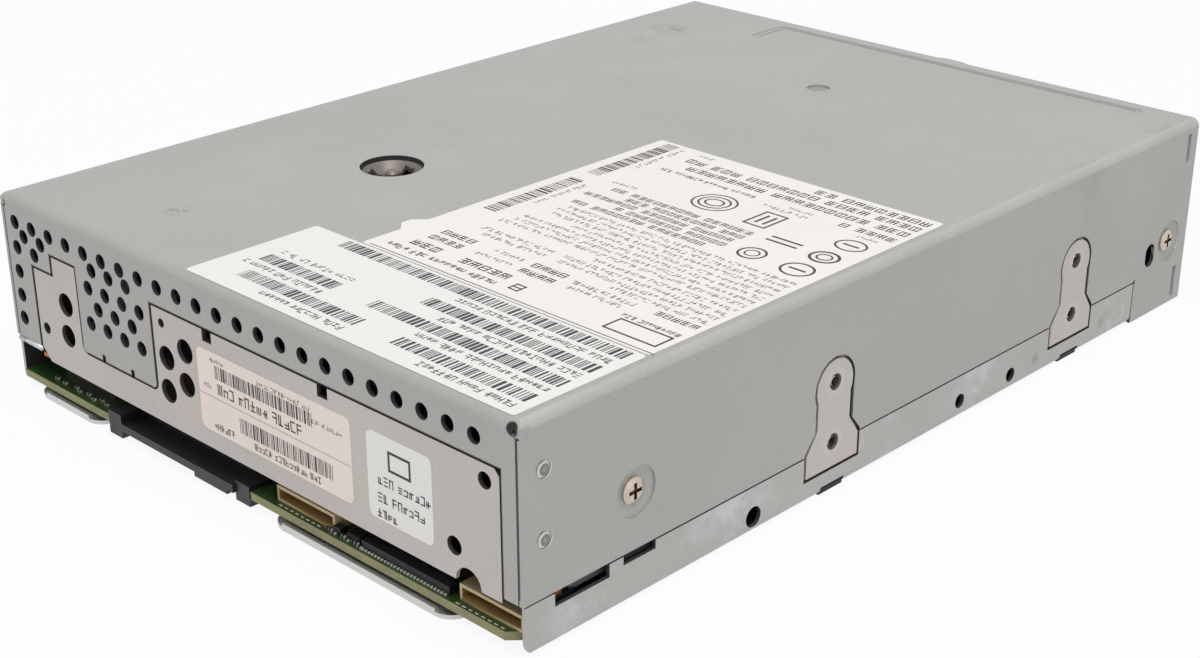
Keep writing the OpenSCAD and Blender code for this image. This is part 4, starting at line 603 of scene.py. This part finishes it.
heavy += outline(-69, 62.4, -57, 67.2, 0.45)
row(60.6, [(-69, -55.5)], 1.3, 3, heavy)
row(65.9, [(-31, -2.5)], 1.7, 3, heavy)
row(64.0, [(-36.5, -33)], 2.6, 5, heavy)
row(62.2, [(-31, -17), (-13, -4)], 2.1, 5, heavy)
row(58.4, [(-38, -28.5), (-14.5, -4.5)], 1.8, 5, heavy)
row(58.5, [(-27, -18), (-54, -41)], 1.2)
row(55.2, [(-38, -28.5), (-14.5, -4.5)], 1.8, 5, heavy)
row(56.0, [(-69, -57)], 1.6, 5)
row(56.2, [(-55, -40)], 1.4)
row(55.4, [(-27, -19)], 1.2)
row(53.6, [(-69, -46.5)], 1.3)
row(51.3, [(-69, -31.5), (-28.3, -12)], 1.3)
row(49.0, [(-69, -30.5), (-28.3, -9.6)], 1.3)
row(46.6, [(-69, -35.5)], 1.3)
for v, u in ((44.0, -9), (41.8, -11), (39.6, -10), (37.4, -21), (35.1, -13), (32.9, -12.5), (30.7, -13.5)):
    row(v, [(-69, u)], 1.25)
for v, a, u in ((27.4, -45, -10), (24.9, -48, -20), (22.4, -47.5, -10), (19.9, -48, -18.5), (17.4, -48, -12)):
    row(v, [(a, u)], 1.6, 5)
row(14.6, [(-16, -10)], 1.1)
heavy += ring(-64.7, 25.8, 3.4, 3.1, 0.5) + [rect(-66.6, 25.5, -62.8, 26.1)]
heavy += ring(-54.0, 25.3, 2.9, 2.8, 0.5) + ring(-54.0, 25.3, 1.6, 1.5, 0.35)
heavy += ring(-64.6, 18.0, 3.1, 2.8, 0.6) + ring(-64.6, 18.0, 1.7, 1.5, 0.4) + [rect(-58.4, 17.8, -51.2, 18.4)]
heavy += [rect(-58.4, 16.0, -51.2, 16.6)] + ring(-64.6, 10.3, 3.3, 2.7, 0.45) + [rect(-66.4, 10.0, -62.8, 10.6)]
heavy += outline(-47.8, 7.0, -42.4, 14.6, 0.5) + [rect(-46.4, 8.6, -45.8, 13.0), rect(-44.6, 8.6, -44.0, 13.0)]
for k in (0, 1.3, 2.6):
    heavy += ring(-32.1, 10.3, 4.8 - k, 4.4 - k, 0.42)
row(5.2, [(-67, -62)], 1.0)
row(4.2, [(-50, -39)], 1.2)
row(2.4, [(-50, -43)], 1.1)
row(2.2, [(-36, -11.5)], 1.3, 3)
row(2.0, [(-69, -56.5)], 1.9, 5)
for v, u in ((-2.0, -11.5), (-5.6, -11.5), (-8.9, -41)):
    row(v, [(-69, u)], 2.1, 5)
row(-8.6, [(-16, -12)], 1.0)
bars += ladder(-5.6, -2.2, 18.8, 43.0) + ladder(-5.6, -2.2, -9.3, 14.6)
# Two lines that run up the label, left of its edge
upright = words(20, 35, 7.0, 1.2, 2) + words(-8, 6.5, 6.9, 1.2, 2)
fine += [[(-b, a) for a, b in q] for q in upright]
flat_quads("label_front_print", fine, on_top, "ink_soft", "label_paper")
flat_quads("label_front_signs", heavy, on_top, "ink", "label_paper")
flat_quads("label_front_bars", bars, on_top, "ink", "label_paper")
flat_quads("label_front_edge", [rect(-70.6, 69.2, -1, 69.45)], on_top, "ink_soft", "label_paper")

# Print on the two labels of the rear panel
PRINT_LIFT, SMALL_BAR = 0.01 * MM, 0.17
rear_print_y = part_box("panel_label_wide")[1].y + PRINT_LIFT


def on_rear(u, v):
    return (u * MM, rear_print_y, v * MM)


bars = barcode(-22.5, 4.7, 23.2, 25.8, SMALL_BAR)
text = words(2.0, 6.6, 26.2, 0.9, 2) + words(-22, -7.4, 26.0, 0.9, 2) + words(-30.5, -21.8, 24.0, 0.8, 2)
text += words(-19.5, 5.2, 20.3, 2.1, 3, BIG_GAP, 0.3, (4, 6)) + words(6.2, 8.8, 20.8, 0.9, 2)
bars += barcode(-27.4, -1.6, 14.8, 17.8, SMALL_BAR)
text += words(-24, -5, 12.9, 1.3, 3) + words(0.2, 6.4, 13.0, 1.3, 3)
text += words(-52.2, -38.3, 18.9, 1.7, 3, BIG_GAP, 0.26, (5, 7))
text += words(-50.6, -38.3, 15.6, 1.7, 3, BIG_GAP, 0.26, (5, 7))
text += words(-43.7, -38.3, 12.7, 1.6, 3, BIG_GAP, 0.26, (3, 4))
text += outline(-47.6, 22.0, -42.0, 25.8, 0.5)
flat_quads("panel_label_print", text, on_rear, "ink", "label_paper")
flat_quads("panel_label_bars", bars, on_rear, "ink", "label_paper")
flat_quads("panel_label_cut", [rect(-32.5, 19.2, 9.8, 19.4)], on_rear, "line", "label_paper")

# ---------------------------------------------------------------- board details
# All in millimetres along the board's rear edge: a row of leads, flat dashes, and two rows of small parts
BOARD_TOP = 3.6
LEAD_ROW = [(-33.2 - 0.83 * i, 100.2) for i in range(26)]
DASHES = [(-10.6 - 1.5 * i, 100.3) for i in range(8)] + [(-56.8 - 1.5 * i, 100.5) for i in range(8)]
SPECKS = ((42.4, 99.8), (45.2, 99.2), (47.4, 98.8), (49.0, 99.6), (51.6, 99.0), (54.2, 99.5), (56.0, 98.9),
          (59.5, 99.4), (62.6, 99.2))
SMALL_PARTS = [(-23.2 - 1.15 * i, 99.9 + 0.3 * (i * 7 % 3 - 1), BOARD_TOP + 0.35 + 0.15 * (i * 5 % 3))
               for i in range(9)]


def chip_body(x, y, half_x, half_y, top):
    return (x - half_x, y - half_y, BOARD_TOP, x + half_x, y + half_y, top)


def chip_ends(x, y, inner, outer, half_y, top):
    """The two solder ends of a small part."""
    return [(x - outer, y - half_y, BOARD_TOP, x - inner, y + half_y, top),
            (x + inner, y - half_y, BOARD_TOP, x + outer, y + half_y, top)]


pads = [chip_body(x, y, 0.2, 0.2, BOARD_TOP + 0.25) for x, y in LEAD_ROW]
pads += [(x - 0.85, y - 0.12, BOARD_TOP, x, y + 0.12, BOARD_TOP + 0.06) for x, y in DASHES]
parts = [(-54.6, 97.9, BOARD_TOP, -32.6, 99.9, 5.2), (-31.6, 97.4, BOARD_TOP, -28.4, 99.6, 4.9),
         (-26.9, 98.3, BOARD_TOP, -24.9, 99.9, 4.9)]
for x, y in SPECKS:
    pads += chip_ends(x, y, 0.25, 0.5, 0.28, BOARD_TOP + 0.4)
    parts.append(chip_body(x, y, 0.25, 0.3, BOARD_TOP + 0.45))
parts += [(-71.4, 88.2, BOARD_TOP, -68.6, 93.8, 7.2)]
for x, y, top in SMALL_PARTS:
    parts.append(chip_body(x, y, 0.28, 0.3, top))
    pads += chip_ends(x, y, 0.28, 0.45, 0.26, top - 0.05)
boxes("solder_pads", pads, "pad", slot="machine_steel")
boxes("edge_parts", parts, "chip", slot="chip_resin")
copper = [(-71.3, 91.0, 7.2, -70.4, 92.5, 8.3), (62.4, 99.6, 8.7, 64.2, 100.6, 9.5)]
boxes("copper_bits", copper, "copper", slot="machine_steel")

# ---------------------------------------------------------------- rear corner pieces, and painted shade behind the corners, in the rail slots and round the hub
# Dark boxes behind the rear corners: painted shade where the corner gaps would show the background
backing = [(x0, 98.9, 36.6, x0 + 1.3, 100.0, 40.2) for x0 in (-72.0, 70.7)]
boxes("corner_shade_backing", backing, "dark", slot="zinc_steel")
fold = [(x0, 98.9, 38.7, x0 + 1.07, 100.95, 40.3) for x0 in (-72.97, 71.9)]
boxes("corner_fold", fold, "cover", slot="zinc_steel")
# Dark boxes in the slots at the foot of the rails: painted shade
rail_slots = [(s * 72.3 - 0.25, y, 0.04, s * 72.3 + 0.25, y + 6.8, 1.0) for s in (-1, 1) for y in (20.2, -59.1)]
boxes("rail_slot_shade", rail_slots, "dark", slot="zinc_steel")


def turned(name, at, axis, rings, finish, slot, steps=40):
    """A turned form from rings of (radius, height) along an axis through a place in millimetres."""
    base = Vector(at)
    side = Z_AXIS if abs(axis.x) > 0.5 else X_AXIS
    other = axis.cross(side)
    verts, faces = [], []
    for radius, height in rings:
        for i in range(steps):
            a = 2 * math.pi * i / steps
            verts.append((base + axis * height + side * radius * math.cos(a) + other * radius * math.sin(a)) * MM)
    for k in range(len(rings) - 1):
        for i in range(steps):
            j = (i + 1) % steps
            faces.append((k * steps + i, k * steps + j, (k + 1) * steps + j, (k + 1) * steps + i))
    o = finish_mesh(name, verts, faces, finish, slot=slot)
    for p in o.data.polygons:
        p.use_smooth = True


hub_top = (hub_mid.x, hub_mid.y, hub_high.z / MM)
# A dark ring of painted shade round the hub
turned("hub_shade", hub_top, Z_AXIS, [(5.95, 0.03), (6.55, 0.03)], "dark", "zinc_steel")
# The rolled bright edge under the left end of the rear flange
ROLL_FORM = [(0.01, 0), (0.6, 0.15), (0.6, 8.25), (0.01, 8.4)]
turned("edge_roll", (63.9, 100.75, 10.35), X_AXIS, ROLL_FORM, "steel", "machine_steel", 16)
# Thread crests in the tapped holes of the tabs
CREST_RADIUS, ROOT_RADIUS, HALF_PITCH = 0.95, 1.22, 0.22
CRESTS = [(ROOT_RADIUS if k % 2 else CREST_RADIUS, HALF_PITCH * k) for k in range(6)]
for s, side in ((-1, "left"), (1, "right")):
    for k, (y, z) in enumerate(TAPPED):
        mouth = (s * 72.75, y, z)
        turned(f"tab_thread_{side}_{k + 1}", mouth, X_AXIS * -s, CRESTS, "thread", "machine_steel", 24)

# ---------------------------------------------------------------- stage
FLOOR_HALF, FLOOR_Z, FLOOR_SHADE, FLOOR_GLOW = 4, -0.0002, 0.86, 0.92
floor_mesh = bpy.data.meshes.new("floor")
floor_corners = [(x, y, FLOOR_Z) for x, y in rect(-FLOOR_HALF, -FLOOR_HALF, FLOOR_HALF, FLOOR_HALF)]
floor_mesh.from_pydata(floor_corners, [], [(0, 1, 2, 3)])
floor = bpy.data.objects.new("floor", floor_mesh)
bpy.context.scene.collection.objects.link(floor)
floor_white = bpy.data.materials.new("floor_white")
floor_white.use_nodes = True


def largest(tree, outputs):
    """The largest of some outputs of the light path."""
    value = outputs[0]
    for other in outputs[1:]:
        value = add_node(tree, "ShaderNodeMath", {0: value, 1: other}, "MAXIMUM").outputs[0]
    return value


# The floor looks white to the camera and in reflections, and takes shadows
floor_tree = floor_white.node_tree
floor_tree.nodes.clear()
ray = floor_tree.nodes.new("ShaderNodeLightPath").outputs
seen = largest(floor_tree, (ray["Is Camera Ray"], ray["Is Glossy Ray"]))
share = add_node(floor_tree, "ShaderNodeMath", {0: seen, 1: FLOOR_GLOW}, "MULTIPLY").outputs[0]
floor_colour = (FLOOR_SHADE, FLOOR_SHADE, FLOOR_SHADE, 1)
diffuse = add_node(floor_tree, "ShaderNodeBsdfDiffuse", {"Color": floor_colour}).outputs[0]
glow = floor_tree.nodes.new("ShaderNodeEmission").outputs[0]
surface = add_node(floor_tree, "ShaderNodeMixShader", {"Fac": share, 1: diffuse, 2: glow}).outputs[0]
add_node(floor_tree, "ShaderNodeOutputMaterial", {"Surface": surface})
floor_mesh.materials.append(floor_white)

# The world is white where it is seen, and lights the object more softly
WORLD_LIGHT = 0.42
scene = bpy.context.scene
world = bpy.data.worlds.new("studio")
scene.world = world
world.use_nodes = True
sky = world.node_tree
sky.nodes.clear()
ray = sky.nodes.new("ShaderNodeLightPath").outputs
seen = largest(sky, (ray["Is Camera Ray"], ray["Is Transmission Ray"], ray["Is Glossy Ray"]))
soft = add_node(sky, "ShaderNodeBackground", {"Color": (1, 1, 1, 1), "Strength": WORLD_LIGHT}).outputs[0]
back = add_node(sky, "ShaderNodeBackground", {"Color": (1, 1, 1, 1)}).outputs[0]
surface = add_node(sky, "ShaderNodeMixShader", {"Fac": seen, 1: soft, 2: back}).outputs[0]
add_node(sky, "ShaderNodeOutputWorld", {"Surface": surface})

# Lamps in metres and watts, all aimed at the middle of the object
LAMP_AIM, LAMP_SIZE = Vector((0, 0, 0.02)), 0.9
LAMPS = (("key", (-0.35, 0.25, 1.3), 10), ("side_fill", (-1.1, 0.1, 0.5), 0.5), ("rear_fill", (0.1, 1.2, 0.5), 0.8))
for name, at, power in LAMPS:
    data = bpy.data.lights.new(name, "AREA")
    data.size = LAMP_SIZE
    data.energy = power
    lamp = bpy.data.objects.new(name, data)
    lamp.location = at
    lamp.rotation_mode = "QUATERNION"
    lamp.rotation_quaternion = (LAMP_AIM - Vector(at)).to_track_quat("-Z", "Y")
    scene.collection.objects.link(lamp)

# The camera as solved from the photograph, in metres and degrees
CAMERA_AT, CAMERA_LENS, SENSOR_WIDTH = (-0.2619, 0.2787, 0.1716), 59.085, 36
azimuth, elevation, roll = math.radians(224.12), math.radians(23.93), math.radians(-0.13)
level = math.cos(elevation)
toward = Vector((math.sin(azimuth) * level, -math.cos(azimuth) * level, math.sin(elevation)))
right = (-toward).cross(Z_AXIS).normalized()
up = right.cross(-toward)
rolled_right = right * math.cos(roll) + up * math.sin(roll)
rolled_up = up * math.cos(roll) - right * math.sin(roll)
cam_data = bpy.data.cameras.new("camera")
cam_data.sensor_width = SENSOR_WIDTH
cam_data.lens = CAMERA_LENS
cam_data.clip_start, cam_data.clip_end = 0.01, 20
cam = bpy.data.objects.new("camera", cam_data)
rows = [(rolled_right[i], rolled_up[i], toward[i], CAMERA_AT[i]) for i in range(3)]
cam.matrix_world = Matrix((*rows, (0, 0, 0, 1)))
scene.collection.objects.link(cam)
scene.camera = cam
scene.view_settings.view_transform = "Standard"
